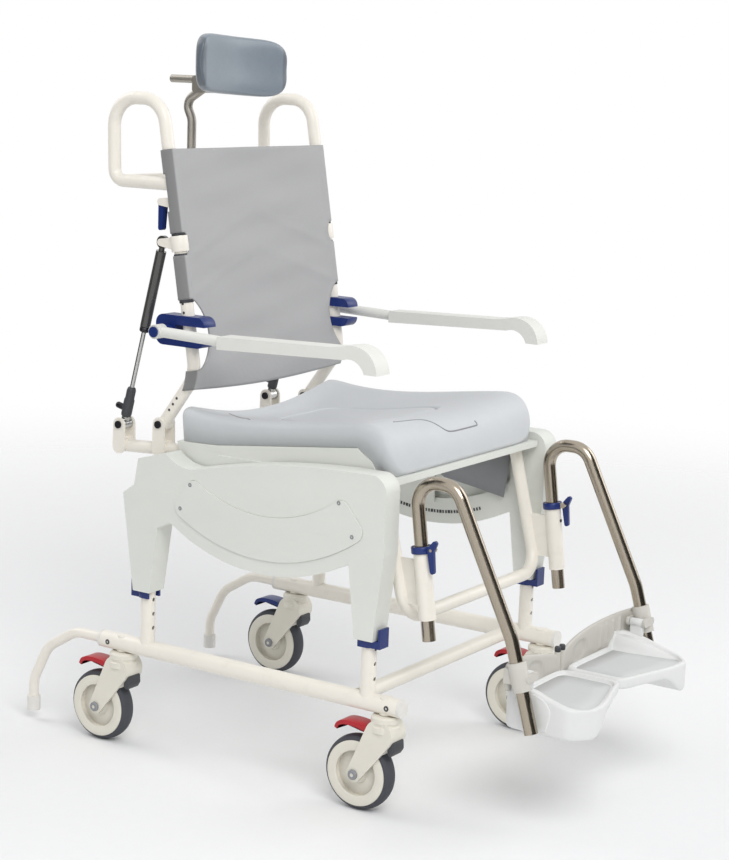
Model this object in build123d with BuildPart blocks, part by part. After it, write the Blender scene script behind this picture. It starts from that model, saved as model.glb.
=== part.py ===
from build123d import *

import os
from math import cos, degrees, hypot, radians, sin

# Wheeled shower chair with a tilting seat, a reclining back and swing-away legrests.
# Millimetres, +Z up, floor at Z = 0. The sitter faces -Y, and the sitter's right is -X.

# Fits
RUNNING = 0.05
CLEAR = 0.3

# Base rails and height posts
TRACK = 258.0
RAIL_Z = 182.0
RAIL_DIAMETER = 30.0
TUBE_WALL = 2.0
RAIL_FRONT = -248.0
RAIL_REAR = 366.0
POST_DIAMETER = 25.0
POST_YS = (-186.0, 270.0)
POST_TOP = 390.0
HOLE_PITCH = 25.0
HOLE_FIRST = 221.0
HOLE_COUNT = 3
HOLE_DIAMETER = 7.0
CROSS_TUBE_Y = -158.0
CROSS_TUBE_DIAMETER = 25.0

# Anti-tip tubes
ANTI_TIP_DIAMETER = 18.0
ANTI_TIP_REACH = 533.0
ANTI_TIP_LOW = 30.0
ANTI_TIP_BEND = 62.0
ANTI_TIP_DROPS = (41.0, 108.0)
ANTI_TIP_SHARES = (0.4, 0.8)
TIP_DIAMETER = 24.0
TIP_GRIP = 14.0
TIP_FLOOR_GAP = 18.0
FERRULE_DEPTH = 26.0
CAP_THICKNESS = 6.0

# Castors
CASTOR_YS = {"front": -222.0, "rear": 324.0}
WHEEL_DIAMETER = 125.0
WHEEL_WIDTH = 30.0
TYRE_DEPTH = 14.0
TRAIL = 45.0
STEM_DIAMETER = 12.0
STEM_LENGTH = 20.0
FORK_WALL = 5.0
FORK_GAP = 2.0
FORK_TOP_RADIUS = 25.0
HUB_RADIUS = 13.0
COLLAR_HEIGHT = 26.0
AXLE_DIAMETER = 8.0
PEDAL_REACH = 86.0
PEDAL_PIN_Y = 24.0
PEDAL_PIN_Z = 138.0
PEDAL_PIN_DIAMETER = 5.0
PEDAL_HUB_RADIUS = 6.0

# Side frames with the curved tilt guide
FRAME_OUTER = 279.0
FRAME_INNER = 238.0
LEG_BOTTOM = 287.0
POST_BORE_TOP = 472.0
TILT_CENTRE = (18.0, 710.0)
UNDERSIDE_RADIUS = 349.0
GUIDE_RADIUS = 290.0
GUIDE_DEPTH = 13.0
GUIDE_ENDS = (-33.0, 35.0)
RACK_RADIUS = 327.0
RACK_STEPS = 10
RACK_PITCH = 3.2
RACK_SLOT = 6.0
RACK_DEPTH = 4.0
COVER_RADII = (252.0, 325.0)
COVER_ENDS = (-39.0, 35.0)
COVER_CORNER = 18.0
COVER_THICKNESS = 5.0
COVER_RECESS = 3.0

# Leg clips
CLIP_WALL = 4.0
CLIP_HEIGHT = 12.0
CLIP_TAB_HEIGHT = 32.0
CLIP_PIN_DIAMETER = 6.0

# Seat unit
SEAT_TUBE_X = 214.0
SEAT_TUBE_DIAMETER = 22.0
SEAT_TUBE_REAR = (383.0, 520.0)
SEAT_TUBE_FRONT = (-166.0, 552.0)
HANGER_LOW = (-226.0, 315.0)
HANGER_BEND = 45.0
SHELL_HALF_WIDTH = 232.0
SHELL_WALL = 3.5
PAD_HALF_WIDTH = 229.0
PAD_TOP = 611.0
APERTURE = (190.0, 250.0)
APERTURE_Y = 20.0
APERTURE_CORNER = 70.0
SEAT_RIM = 15.0
CARRIAGE_THICKNESS = 4.0
ROLLER_DIAMETER = 24.0
ROLLER_ANGLES = (31.0, 3.0)
SLEEVE_X = 217.0
SLEEVE_DIAMETER = 28.0
SLEEVE_BOTTOM = (-267.0, 323.0)
SLEEVE_RAKE = 8.0
SLEEVE_LENGTH = 108.0
WEB_THICKNESS = 5.0
EAR_THICKNESS = 4.0
EAR_GAP = 23.0
EAR_RADIUS = 12.0
PIVOT_DIAMETER = 8.0
BACK_PIVOT = (278.0, 570.0)
STRUT_FOOT = (366.0, 559.0)

# Backrest and push handles
BACK_TUBE_DIAMETER = 22.0
BACK_KNEE = (212.0, 661.0)
HANDLE_TOP = (292.0, 1118.0)
HANDLE_REAR = 398.0
HANDLE_LOW = (394.0, 978.0)
KNEE_BEND = 60.0
HANDLE_BEND = 48.0
HANDLE_LOW_BEND = 20.0
REAR_TUBE_DIAMETER = 20.0
CLOTH_THICKNESS = 3.0
CLOTH_LOW = -22.0
CLOTH_SLEEVE_LOW = 24.0
CLOTH_TOP = 380.0
CLOTH_HEM = 44.0
STRAP_WIDTH = 25.0
STRAP_ROWS = (38.0, 150.0, 262.0)
STRUT_HEAD = (286.0, 880.0)
STRUT_PIN_DIAMETER = 6.0
STRUT_PIN_PLAY = 4.0
CYLINDER_DIAMETER = 18.0
CYLINDER_FOOT = 180.0
ROD_DIAMETER = 8.0
ROD_TOP = 230.0
LEVER_PIVOT = (287.0, 948.0)
LEVER_LENGTH = 44.0
LEVER_WIDTH = 12.0

# Armrests
ARM_PIVOT = (258.0, 735.0)
ARM_X = 258.0
ARM_BAR_DIAMETER = 18.0
ARM_PAD_REAR = 120.0
ARM_PAD_FRONT = -193.0
ARM_PAD_WIDTH = 38.0
ARM_PAD_THICKNESS = 21.0
CLAMP_WALL = 5.0
ARM_PIN_DIAMETER = 10.0

# Headrest
POST_ROD_DIAMETER = 16.0
HEAD_POST_Y = 399.0
HEAD_POST_LOW = 915.0
HEAD_BLOCK = (34.0, 30.0, 30.0)
HEAD_BLOCK_CENTRE = (372.0, 1142.0)
HEAD_ROD_DIAMETER = 14.0
HEAD_ROD_REAR = 446.0
HEAD_PIVOT = (343.0, 1150.0)
HEAD_PAD_HALF_WIDTH = 130.0
HEAD_PAD_HEIGHT = 101.0
HEAD_PAD_LOW = 1127.0
HEAD_PAD_EDGE_Y = 275.0
HEAD_PAD_BACK_Y = 332.0
HEAD_PAD_THICKNESS = 34.0
HEAD_PAD_TIP = 16.0
HEAD_PAD_ROUND = 6.0
KNOB_DIAMETER = 20.0
KNOB_LENGTH = 18.0

# Legrests
LEG_TUBE_DIAMETER = 22.0
LEG_ARCH_TOP = 545.0
LEG_ARCH_FRONT = -310.0
LEG_KNEE = (-421.0, 319.0)
LEG_FOOT = (-463.0, 176.0)
LEG_ARCH_BEND = 36.0
LEG_KNEE_BEND = 90.0
FOOT_COLLAR_TOP = 285.0
FOOT_COLLAR_LENGTH = 44.0
FOOT_COLLAR_WALL = 4.0
PLATE_OUTER_X = 200.0
PLATE_INNER_X = 2.5
PLATE_FRONT_OUTER = -545.0
PLATE_FRONT_INNER = -513.0
PLATE_REAR = -404.0
PLATE_TREAD_Z = 214.0
PLATE_RIM = 5.0
PLATE_DEPTH_OUTER = 26.0
PLATE_DEPTH_INNER = 13.0
PLATE_CHEEK = 10.0
PLATE_PIN_DIAMETER = 6.0
PLATE_PIN_X = 194.0
PLATE_PIN_Z = 262.0
HEEL_THICKNESS = 4.0
HEEL_REAR = -368.0
CATCH_LENGTH = 34.0

SIDES = {"right": -1, "left": 1}


def yz(x: float) -> Plane:
    """Plane at the given X whose sketch axes are Y and Z."""
    return Plane.YZ.offset(x)


def tube(points, bend, outer, wall=0.0, mode=Mode.ADD):
    """Round bar or tube along straight runs joined by tangent arcs; wall 0 is a solid bar."""
    with BuildLine() as path:
        FilletPolyline(*points, radius=bend)
    with BuildSketch(Plane(origin=path.line @ 0, z_dir=path.line % 0)) as section:
        Circle(outer / 2)
        if wall:
            Circle(outer / 2 - wall, mode=Mode.SUBTRACT)
    sweep(sections=section.sketch, path=path.line, mode=mode)


def bar(start, end, diameter, wall=0.0, mode=Mode.ADD):
    """Straight round bar or tube between two points."""
    start = Vector(*start)
    run = Vector(*end) - start
    with BuildSketch(Plane(origin=start, z_dir=run)) as section:
        Circle(diameter / 2)
        if wall:
            Circle(diameter / 2 - wall, mode=Mode.SUBTRACT)
    extrude(section.sketch, amount=run.length, mode=mode)


def along_x(centre, x_from, x_to, diameter, wall=0.0, mode=Mode.ADD):
    """Round bar parallel to X through a (Y, Z) centre."""
    bar((x_from, *centre), (x_to, *centre), diameter, wall, mode)


def at_x(x, points):
    """(Y, Z) points lifted into space at one X."""
    return [(x, y, z) for y, z in points]


def polar(radius, angle):
    """(Y, Z) point at a radius from the tilt centre; angle from straight down, rear positive."""
    turn = radians(angle)
    return (TILT_CENTRE[0] + radius * sin(turn), TILT_CENTRE[1] - radius * cos(turn))


def guide_band(inner_radius, outer_radius, ends):
    """Outline of a band about the tilt centre, drawn in a (Y, Z) sketch."""
    start, stop = ends
    sweep_angle = stop - start
    with BuildLine() as outline:
        low = CenterArc(TILT_CENTRE, outer_radius, start - 90, sweep_angle)
        high = CenterArc(TILT_CENTRE, inner_radius, start - 90, sweep_angle)
        Line(low @ 0, high @ 0)
        Line(low @ 1, high @ 1)
    make_face(outline.edges())


def save(piece, name):
    """Label a finished piece and write it under its own name."""
    piece.label = name
    export_step(piece, f"parts/{name}.step")


os.makedirs("parts", exist_ok=True)


# Chassis
RAIL_BOTTOM = RAIL_Z - RAIL_DIAMETER / 2
RAIL_TOP = RAIL_Z + RAIL_DIAMETER / 2
RAIL_BORE = RAIL_DIAMETER - 2 * TUBE_WALL
BOSS_FACE = 0.5
BOSS_WALL = 5.0
STEM_ROOM = 1.0


def base_rail(side):
    """Rail with two welded height posts and a bored socket for each castor stem."""
    x = side * TRACK
    socket = STEM_DIAMETER + 2 * RUNNING
    socket_top = RAIL_BOTTOM + STEM_LENGTH + STEM_ROOM
    boss = STEM_DIAMETER + 2 * BOSS_WALL
    with BuildPart() as rail:
        bar((x, RAIL_FRONT, RAIL_Z), (x, RAIL_REAR, RAIL_Z), RAIL_DIAMETER)
        for y in POST_YS:
            bar((x, y, RAIL_Z), (x, y, POST_TOP), POST_DIAMETER)
        bar((x, RAIL_FRONT, RAIL_Z), (x, RAIL_REAR, RAIL_Z), RAIL_BORE, mode=Mode.SUBTRACT)
        for y in POST_YS:
            bar((x, y, RAIL_Z), (x, y, POST_TOP), POST_DIAMETER - 2 * TUBE_WALL, mode=Mode.SUBTRACT)
            for step in range(HOLE_COUNT):
                z = HOLE_FIRST + step * HOLE_PITCH
                bar((x, y - POST_DIAMETER, z), (x, y + POST_DIAMETER, z), HOLE_DIAMETER, mode=Mode.SUBTRACT)
        for y in CASTOR_YS.values():
            bar((x, y, RAIL_BOTTOM + BOSS_FACE), (x, y, RAIL_TOP - TUBE_WALL / 2), boss)
            bar((x, y, RAIL_BOTTOM), (x, y, socket_top), socket, mode=Mode.SUBTRACT)
    return rail.part


for name, side in SIDES.items():
    save(base_rail(side), f"base_rail_{name}")

with BuildPart() as base_cross_tube:
    reach = TRACK - RAIL_DIAMETER / 2 - CLEAR
    bar((-reach, CROSS_TUBE_Y, RAIL_Z), (reach, CROSS_TUBE_Y, RAIL_Z), CROSS_TUBE_DIAMETER, TUBE_WALL)
save(base_cross_tube.part, "base_cross_tube")

ANTI_TIP_RUN = ANTI_TIP_REACH - RAIL_REAR
SHOULDER_Y, ELBOW_Y = (RAIL_REAR + share * ANTI_TIP_RUN for share in ANTI_TIP_SHARES)
ELBOW_Z, DROP_Z = (RAIL_Z - drop for drop in ANTI_TIP_DROPS)
ANTI_TIP_ROUTE = [(RAIL_REAR - FERRULE_DEPTH, RAIL_Z), (SHOULDER_Y, RAIL_Z), (ELBOW_Y, ELBOW_Z),
                  (ANTI_TIP_REACH, DROP_Z), (ANTI_TIP_REACH, ANTI_TIP_LOW)]
TIP_TOP = ANTI_TIP_LOW + TIP_GRIP

with BuildPart() as anti_tippers:
    for side in SIDES.values():
        tube(at_x(side * TRACK, ANTI_TIP_ROUTE), ANTI_TIP_BEND, ANTI_TIP_DIAMETER, TUBE_WALL)
save(anti_tippers.part, "anti_tippers")


def end_pieces(side):
    """Front cap, rear ferrule round the anti-tip tube, and the tube's rubber tip."""
    x = side * TRACK
    grip = ANTI_TIP_DIAMETER + 2 * RUNNING
    bar((x, RAIL_FRONT - CAP_THICKNESS, RAIL_Z), (x, RAIL_FRONT, RAIL_Z), RAIL_DIAMETER)
    bar((x, RAIL_FRONT, RAIL_Z), (x, RAIL_FRONT + CAP_THICKNESS, RAIL_Z), RAIL_BORE - 2 * RUNNING)
    bar((x, RAIL_REAR, RAIL_Z), (x, RAIL_REAR + CAP_THICKNESS, RAIL_Z), RAIL_DIAMETER)
    bar((x, RAIL_REAR - FERRULE_DEPTH, RAIL_Z), (x, RAIL_REAR, RAIL_Z), RAIL_BORE - 2 * RUNNING)
    bar((x, RAIL_REAR - FERRULE_DEPTH, RAIL_Z), (x, RAIL_REAR + CAP_THICKNESS, RAIL_Z), grip,
        mode=Mode.SUBTRACT)
    bar((x, ANTI_TIP_REACH, TIP_FLOOR_GAP), (x, ANTI_TIP_REACH, TIP_TOP), TIP_DIAMETER)
    bar((x, ANTI_TIP_REACH, ANTI_TIP_LOW), (x, ANTI_TIP_REACH, TIP_TOP), grip, mode=Mode.SUBTRACT)


with BuildPart() as rail_caps:
    for side in SIDES.values():
        end_pieces(side)
save(rail_caps.part, "rail_caps")


# Castors, drawn about a stem axis at X = Y = 0 with the wheel trailing towards +Y
HUB = (TRAIL, WHEEL_DIAMETER / 2)
FORK_INNER = WHEEL_WIDTH / 2 + FORK_GAP
FORK_OUTER = FORK_INNER + FORK_WALL
FORK_TOP = RAIL_BOTTOM - CLEAR
CROWN_Z = FORK_TOP - COLLAR_HEIGHT
WHEEL_CLEARANCE = 3.0
WHEEL_ROOM = WHEEL_DIAMETER / 2 + WHEEL_CLEARANCE
AXLE_NUT_DIAMETER = AXLE_DIAMETER + 7
AXLE_NUT_HEIGHT = 4.0
PEDAL_ROOM = 3.0
PEDAL_SLOT = 60.0
PEDAL_PIN = (PEDAL_PIN_Y, PEDAL_PIN_Z)


def tapered_plate(plane, amount, first, first_radius, second, second_radius, mode=Mode.ADD):
    """Plate whose outline wraps two circles with straight tangents."""
    with BuildSketch(plane) as outline:
        with BuildLine() as rounds:
            CenterArc(first, first_radius, 0, 360)
            CenterArc(second, second_radius, 0, 360)
        make_hull(rounds.edges())
    extrude(outline.sketch, amount=amount, mode=mode)


with BuildPart() as castor_fork:
    tapered_plate(yz(-FORK_OUTER), 2 * FORK_OUTER, HUB, HUB_RADIUS, (0, CROWN_Z - 4), FORK_TOP_RADIUS)
    with BuildSketch(Plane.XZ):
        with BuildLine():
            ridge = FORK_TOP_RADIUS
            Polyline((0, CROWN_Z), (ridge, CROWN_Z), (ridge, CROWN_Z + 9), (ridge - 3, CROWN_Z + 11),
                     (ridge - 3, CROWN_Z + 14), (ridge - 1, CROWN_Z + 16), (ridge - 1, FORK_TOP - 3),
                     (ridge - 4, FORK_TOP), (0, FORK_TOP), (0, CROWN_Z))
        make_face()
    revolve(axis=Axis.Z)
    along_x(HUB, -FORK_INNER, FORK_INNER, 2 * WHEEL_ROOM, mode=Mode.SUBTRACT)
    with BuildSketch(yz(-FORK_INNER)):
        swing = PEDAL_HUB_RADIUS + PEDAL_ROOM
        with Locations((PEDAL_PIN_Y + PEDAL_SLOT / 2, PEDAL_PIN_Z)):
            Rectangle(PEDAL_SLOT + 2 * swing, 2 * swing + 2)
    extrude(amount=2 * FORK_INNER, mode=Mode.SUBTRACT)
    bar((0, 0, CROWN_Z), (0, 0, RAIL_BOTTOM + STEM_LENGTH), STEM_DIAMETER)
    along_x(HUB, -FORK_OUTER, FORK_OUTER, AXLE_DIAMETER)
    along_x(HUB, FORK_OUTER, FORK_OUTER + AXLE_NUT_HEIGHT, AXLE_NUT_DIAMETER)
    along_x(HUB, -FORK_OUTER - AXLE_NUT_HEIGHT, -FORK_OUTER, AXLE_NUT_DIAMETER)
    along_x(PEDAL_PIN, -FORK_OUTER, FORK_OUTER, PEDAL_PIN_DIAMETER)

RIM_RADIUS = WHEEL_DIAMETER / 2 - TYRE_DEPTH
WEB_HALF = 4.0
HUB_BOSS = 15.0

with BuildPart() as castor_wheel:
    with BuildSketch(Plane.XY):
        half = WHEEL_WIDTH / 2
        with BuildLine():
            Polyline((half, AXLE_DIAMETER / 2 + RUNNING), (half, HUB_BOSS), (WEB_HALF + 3, HUB_BOSS + 4),
                     (WEB_HALF, RIM_RADIUS - 9), (half - 3, RIM_RADIUS - 5), (half - 3, RIM_RADIUS),
                     (3 - half, RIM_RADIUS), (3 - half, RIM_RADIUS - 5), (-WEB_HALF, RIM_RADIUS - 9),
                     (-WEB_HALF - 3, HUB_BOSS + 4), (-half, HUB_BOSS),
                     (-half, AXLE_DIAMETER / 2 + RUNNING), close=True)
        make_face()
    revolve(axis=Axis.X)

with BuildPart() as castor_tyre:
    with BuildSketch(Plane.XY):
        half = WHEEL_WIDTH / 2
        tread = WHEEL_DIAMETER / 2
        with BuildLine():
            crown = ThreePointArc((half - 5, tread - 2), (0, tread), (5 - half, tread - 2))
            Polyline(crown @ 1, (-half, tread - 7), (3 - half, RIM_RADIUS), (half - 3, RIM_RADIUS),
                     (half, tread - 7), crown @ 0)
        make_face()
    revolve(axis=Axis.X)

with BuildPart() as castor_pedal:
    lift = 4.0
    tip = (PEDAL_REACH, PEDAL_PIN_Z + lift)
    width = 2 * FORK_INNER - 2
    tapered_plate(yz(-width / 2), width, PEDAL_PIN, PEDAL_HUB_RADIUS, tip, 4)
    tapered_plate(yz(-width / 2), width, tip, 4, (PEDAL_REACH + 3, PEDAL_PIN_Z + lift + 7), 3)
    along_x(PEDAL_PIN, -width, width, PEDAL_PIN_DIAMETER + 2 * RUNNING, mode=Mode.SUBTRACT)

for end, stem_y in CASTOR_YS.items():
    for name, side in SIDES.items():
        corner = f"{end}_{name}"
        stem = Pos(side * TRACK, stem_y, 0)
        axle = Pos(side * TRACK, stem_y + TRAIL, WHEEL_DIAMETER / 2)
        save(stem * castor_fork.part, f"castor_fork_{corner}")
        save(stem * castor_pedal.part, f"castor_pedal_{corner}")
        save(axle * castor_wheel.part, f"castor_wheel_{corner}")
        save(axle * castor_tyre.part, f"castor_tyre_{corner}")


# Side frames, guide covers and leg clips
FRONT_POST, REAR_POST = POST_YS
FRAME_FRONT = FRONT_POST - 34
FRAME_TOP = 556.0
FRAME_HEEL_Z = 455.0
FRAME_STEP_Z = 472.0
FRAME_SCOOP_Z = 514.0
FRAME_HORN_Z = 535.0
FRAME_BROW_Z = 542.0
FRAME_NOSE = 30.0
FRAME_CALF_Z = 430.0
FRAME_CROTCH_Z = 404.0
ARCH_ENDS = (-29.5, 33.0)
PIN_HOLE_Z = HOLE_FIRST + HOLE_COUNT * HOLE_PITCH
LEG_HALF = POST_DIAMETER / 2 + 5


def frame_outline():
    """Side view of a side frame: two legs, an arched underside and a scooped top edge."""
    with BuildLine() as outline:
        arch_front, arch_rear = (polar(UNDERSIDE_RADIUS, end) for end in ARCH_ENDS)
        horn = (REAR_POST - 49, FRAME_HORN_Z)
        scoop = (REAR_POST - 104, FRAME_SCOOP_Z)
        brow = (FRAME_FRONT + FRAME_NOSE, FRAME_TOP)
        nose = (FRAME_FRONT, FRAME_TOP - FRAME_NOSE)
        ThreePointArc(arch_front, polar(UNDERSIDE_RADIUS, 0), arch_rear)
        Polyline(arch_rear, (REAR_POST - 34, FRAME_CROTCH_Z), (REAR_POST - LEG_HALF, LEG_BOTTOM),
                 (REAR_POST + LEG_HALF, LEG_BOTTOM), (REAR_POST + 42, FRAME_HEEL_Z),
                 (REAR_POST + 18, FRAME_STEP_Z), (REAR_POST + 10, FRAME_SCOOP_Z + 4), horn)
        ThreePointArc(horn, (REAR_POST - 78, FRAME_SCOOP_Z + 4), scoop)
        ThreePointArc(scoop, (TILT_CENTRE[0], FRAME_BROW_Z), brow)
        ThreePointArc(brow, (FRAME_FRONT + 8, FRAME_TOP - 8), nose)
        Polyline(nose, (FRAME_FRONT, FRAME_CALF_Z), (FRONT_POST - LEG_HALF, LEG_BOTTOM),
                 (FRONT_POST + LEG_HALF, LEG_BOTTOM), arch_front)
    make_face(outline.edges())


def cover_outline(grow):
    """Crescent of the guide cover, grown by a clearance."""
    start, stop = COVER_ENDS
    extra = degrees(grow / GUIDE_RADIUS)
    guide_band(COVER_RADII[0] - grow, COVER_RADII[1] + grow, (start - extra, stop + extra))


def side_frame(side):
    """Moulded side frame with post sockets, the curved guide groove and the lock slots."""
    inner = side * FRAME_INNER
    outer = side * FRAME_OUTER
    with BuildPart() as frame:
        with BuildSketch(yz(inner)) as profile:
            frame_outline()
        extrude(profile.sketch, amount=outer - inner)
        with BuildSketch(yz(inner)) as slots:
            for step in range(RACK_STEPS):
                angle = (step - (RACK_STEPS - 1) / 2) * RACK_PITCH
                with Locations(Location((*polar(RACK_RADIUS, angle), 0), (0, 0, angle))):
                    Rectangle(RACK_SLOT, RACK_SLOT)
        extrude(slots.sketch, amount=side * RACK_DEPTH, mode=Mode.SUBTRACT)
        for y in POST_YS:
            bar((side * TRACK, y, LEG_BOTTOM), (side * TRACK, y, POST_BORE_TOP),
                POST_DIAMETER + 2 * CLEAR, mode=Mode.SUBTRACT)
        for y, away in zip(POST_YS, (-1, 1)):
            bar((side * TRACK, y, PIN_HOLE_Z), (side * TRACK, y + away * 2 * LEG_HALF, PIN_HOLE_Z),
                CLIP_PIN_DIAMETER + 2 * CLEAR, mode=Mode.SUBTRACT)
        with BuildSketch(yz(inner)) as groove:
            half = ROLLER_DIAMETER / 2 + CLEAR
            guide_band(GUIDE_RADIUS - half, GUIDE_RADIUS + half, GUIDE_ENDS)
            with Locations(*[polar(GUIDE_RADIUS, end) for end in GUIDE_ENDS]):
                Circle(half)
        extrude(groove.sketch, amount=side * GUIDE_DEPTH, mode=Mode.SUBTRACT)
        with BuildSketch(yz(outer)) as recess:
            cover_outline(CLEAR)
            fillet(recess.vertices(), COVER_CORNER)
        extrude(recess.sketch, amount=-side * COVER_RECESS, mode=Mode.SUBTRACT)
    return frame.part


for name, side in SIDES.items():
    save(side_frame(side), f"side_frame_{name}")

with BuildPart() as side_covers:
    for side in SIDES.values():
        with BuildSketch(yz(side * (FRAME_OUTER - COVER_RECESS))) as crescent:
            cover_outline(0)
            fillet(crescent.vertices(), COVER_CORNER)
        extrude(crescent.sketch, amount=side * COVER_THICKNESS)
save(side_covers.part, "side_covers")

CLIP_TOP = LEG_BOTTOM - CLEAR
CLIP_LOW = CLIP_TOP - CLIP_HEIGHT
CLIP_BORE = POST_DIAMETER + 2 * CLEAR
CLIP_OUTER = CLIP_BORE / 2 + CLIP_WALL
CLIP_TAB_Y = LEG_HALF + 6


def leg_clip(x, y, away):
    """Open band under a leg with a raised tab whose pin enters the leg; it pulls off along away."""
    with BuildSketch(Plane.XY.offset(CLIP_LOW)) as band:
        with Locations((x, y)):
            Circle(CLIP_OUTER)
        with Locations((x, y - away * CLIP_BORE / 4)):
            Rectangle(2 * CLIP_OUTER, CLIP_BORE / 2)
        with Locations((x, y + away * (CLIP_TAB_Y + CLIP_WALL) / 2)):
            Rectangle(CLIP_BORE, CLIP_TAB_Y + CLIP_WALL)
        with Locations((x, y)):
            Circle(CLIP_BORE / 2, mode=Mode.SUBTRACT)
        with Locations((x, y - away * CLIP_BORE)):
            Rectangle(CLIP_BORE, 2 * CLIP_BORE, mode=Mode.SUBTRACT)
    extrude(band.sketch, amount=CLIP_HEIGHT)
    with BuildSketch(Plane.XY.offset(CLIP_LOW)) as tab:
        with Locations((x, y + away * (CLIP_TAB_Y + CLIP_WALL / 2))):
            Rectangle(CLIP_BORE, CLIP_WALL)
    extrude(tab.sketch, amount=CLIP_TAB_HEIGHT)
    bar((x, y + away * (CLIP_BORE / 2 + CLEAR), PIN_HOLE_Z), (x, y + away * CLIP_TAB_Y, PIN_HOLE_Z),
        CLIP_PIN_DIAMETER)


for end, y, away in (("front", FRONT_POST, -1), ("rear", REAR_POST, 1)):
    with BuildPart() as leg_clips:
        for side in SIDES.values():
            leg_clip(side * TRACK, y, away)
    save(leg_clips.part, f"leg_clips_{end}")


# Seat frame with the front hanger, legrest sleeves and clevises
RAKE = radians(SLEEVE_RAKE)


def sleeve_point(distance):
    """(Y, Z) point on the legrest sleeve axis, measured up from the sleeve's lower end."""
    return (SLEEVE_BOTTOM[0] + distance * sin(RAKE), SLEEVE_BOTTOM[1] + distance * cos(RAKE))


def seat_tube_z(y):
    """Height of the seat side tube's axis at a given Y."""
    share = (y - SEAT_TUBE_FRONT[0]) / (SEAT_TUBE_REAR[0] - SEAT_TUBE_FRONT[0])
    return SEAT_TUBE_FRONT[1] + share * (SEAT_TUBE_REAR[1] - SEAT_TUBE_FRONT[1])


def hanger_y(z):
    """Y of the front hanger upright's axis at a given height."""
    share = (z - HANGER_LOW[1]) / (SEAT_TUBE_FRONT[1] - HANGER_LOW[1])
    return HANGER_LOW[0] + share * (SEAT_TUBE_FRONT[0] - HANGER_LOW[0])


SIDE_RUN = [SEAT_TUBE_REAR, SEAT_TUBE_FRONT, HANGER_LOW]
SEAT_TUBE_ROUTE = at_x(-SEAT_TUBE_X, SIDE_RUN) + at_x(SEAT_TUBE_X, SIDE_RUN[::-1])
EAR_OUT = EAR_GAP / 2 + EAR_THICKNESS


def clevis(x, pivot):
    """Two ears on a saddle block standing on the seat side tube."""
    y, z = pivot
    base = (y, seat_tube_z(y))
    for low in (-EAR_OUT, EAR_GAP / 2):
        tapered_plate(yz(x + low), EAR_THICKNESS, pivot, EAR_RADIUS, base, EAR_RADIUS + 1)
    with BuildSketch(yz(x - EAR_OUT)) as saddle:
        with Locations((y, base[1] + 6)):
            Rectangle(2 * EAR_RADIUS, 14)
    extrude(saddle.sketch, amount=2 * EAR_OUT)
    along_x(pivot, x - EAR_OUT, x + EAR_OUT, PIVOT_DIAMETER + 2 * RUNNING, mode=Mode.SUBTRACT)


with BuildPart() as seat_frame:
    for side in SIDES.values():
        x = side * SLEEVE_X
        bar((x, *sleeve_point(0)), (x, *sleeve_point(SLEEVE_LENGTH)), SLEEVE_DIAMETER)
        with BuildSketch(yz(side * SEAT_TUBE_X - WEB_THICKNESS / 2)) as web:
            low, high = sleeve_point(20), sleeve_point(SLEEVE_LENGTH - 14)
            Polygon(low, high, (hanger_y(high[1]), high[1]), (hanger_y(low[1]), low[1]), align=None)
        extrude(web.sketch, amount=WEB_THICKNESS)
        for pivot in (BACK_PIVOT, STRUT_FOOT):
            clevis(side * SEAT_TUBE_X, pivot)
    tube(SEAT_TUBE_ROUTE, HANGER_BEND, SEAT_TUBE_DIAMETER)
    tube(SEAT_TUBE_ROUTE, HANGER_BEND, SEAT_TUBE_DIAMETER - 2 * TUBE_WALL, mode=Mode.SUBTRACT)
    for side in SIDES.values():
        x = side * SLEEVE_X
        bar((x, *sleeve_point(-1)), (x, *sleeve_point(SLEEVE_LENGTH + 1)),
            LEG_TUBE_DIAMETER + 2 * CLEAR, mode=Mode.SUBTRACT)
save(seat_frame.part, "seat_frame")

BOLT_HEAD = PIVOT_DIAMETER + 5
BOLT_HEAD_HEIGHT = 3.0

with BuildPart() as pivot_bolts:
    for side in SIDES.values():
        x = side * SEAT_TUBE_X
        for pivot in (BACK_PIVOT, STRUT_FOOT):
            along_x(pivot, x - EAR_OUT, x + EAR_OUT, PIVOT_DIAMETER)
            along_x(pivot, x - EAR_OUT - BOLT_HEAD_HEIGHT, x - EAR_OUT, BOLT_HEAD)
            along_x(pivot, x + EAR_OUT, x + EAR_OUT + BOLT_HEAD_HEIGHT, BOLT_HEAD)
save(pivot_bolts.part, "pivot_bolts")


# Seat shell, pad and lift-out insert
SHELL_REAR = 234.0
SHELL_FRONT = -207.0
SHELL_LIP = 543.0
SEAT_LINE = [(SHELL_REAR, 548.0), (151.0, 551.0), (-131.0, 584.0), (-160.0, 565.0), (-175.0, SHELL_LIP)]
PAD_BACK = [(-198.0, SHELL_LIP), (-181.0, 580.0), (-140.0, PAD_TOP - 2), (208.0, PAD_TOP),
            (SHELL_REAR, PAD_TOP - 26)]


def lowered(points, drop):
    """The same outline points moved straight down."""
    return [(y, z - drop) for y, z in points]


def plan(width, length, corner, z_from, z_to, mode):
    """Rounded block over the seat aperture."""
    with BuildSketch(Plane.XY.offset(z_from)) as outline:
        with Locations((0, APERTURE_Y)):
            RectangleRounded(width, length, corner)
    extrude(outline.sketch, amount=z_to - z_from, mode=mode)


def side_block(half_width, points, mode=Mode.ADD):
    """Side outline carried across the seat."""
    with BuildSketch(yz(-half_width)) as outline:
        Polygon(*points, align=None)
    extrude(outline.sketch, amount=2 * half_width, mode=mode)


SHELL_LOW = [(SHELL_FRONT, SHELL_LIP), (SHELL_FRONT, 533.0), (-169.0, 541.0), (25.0, 531.0), (196.0, 503.0),
             (223.0, 515.0)]

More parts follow.
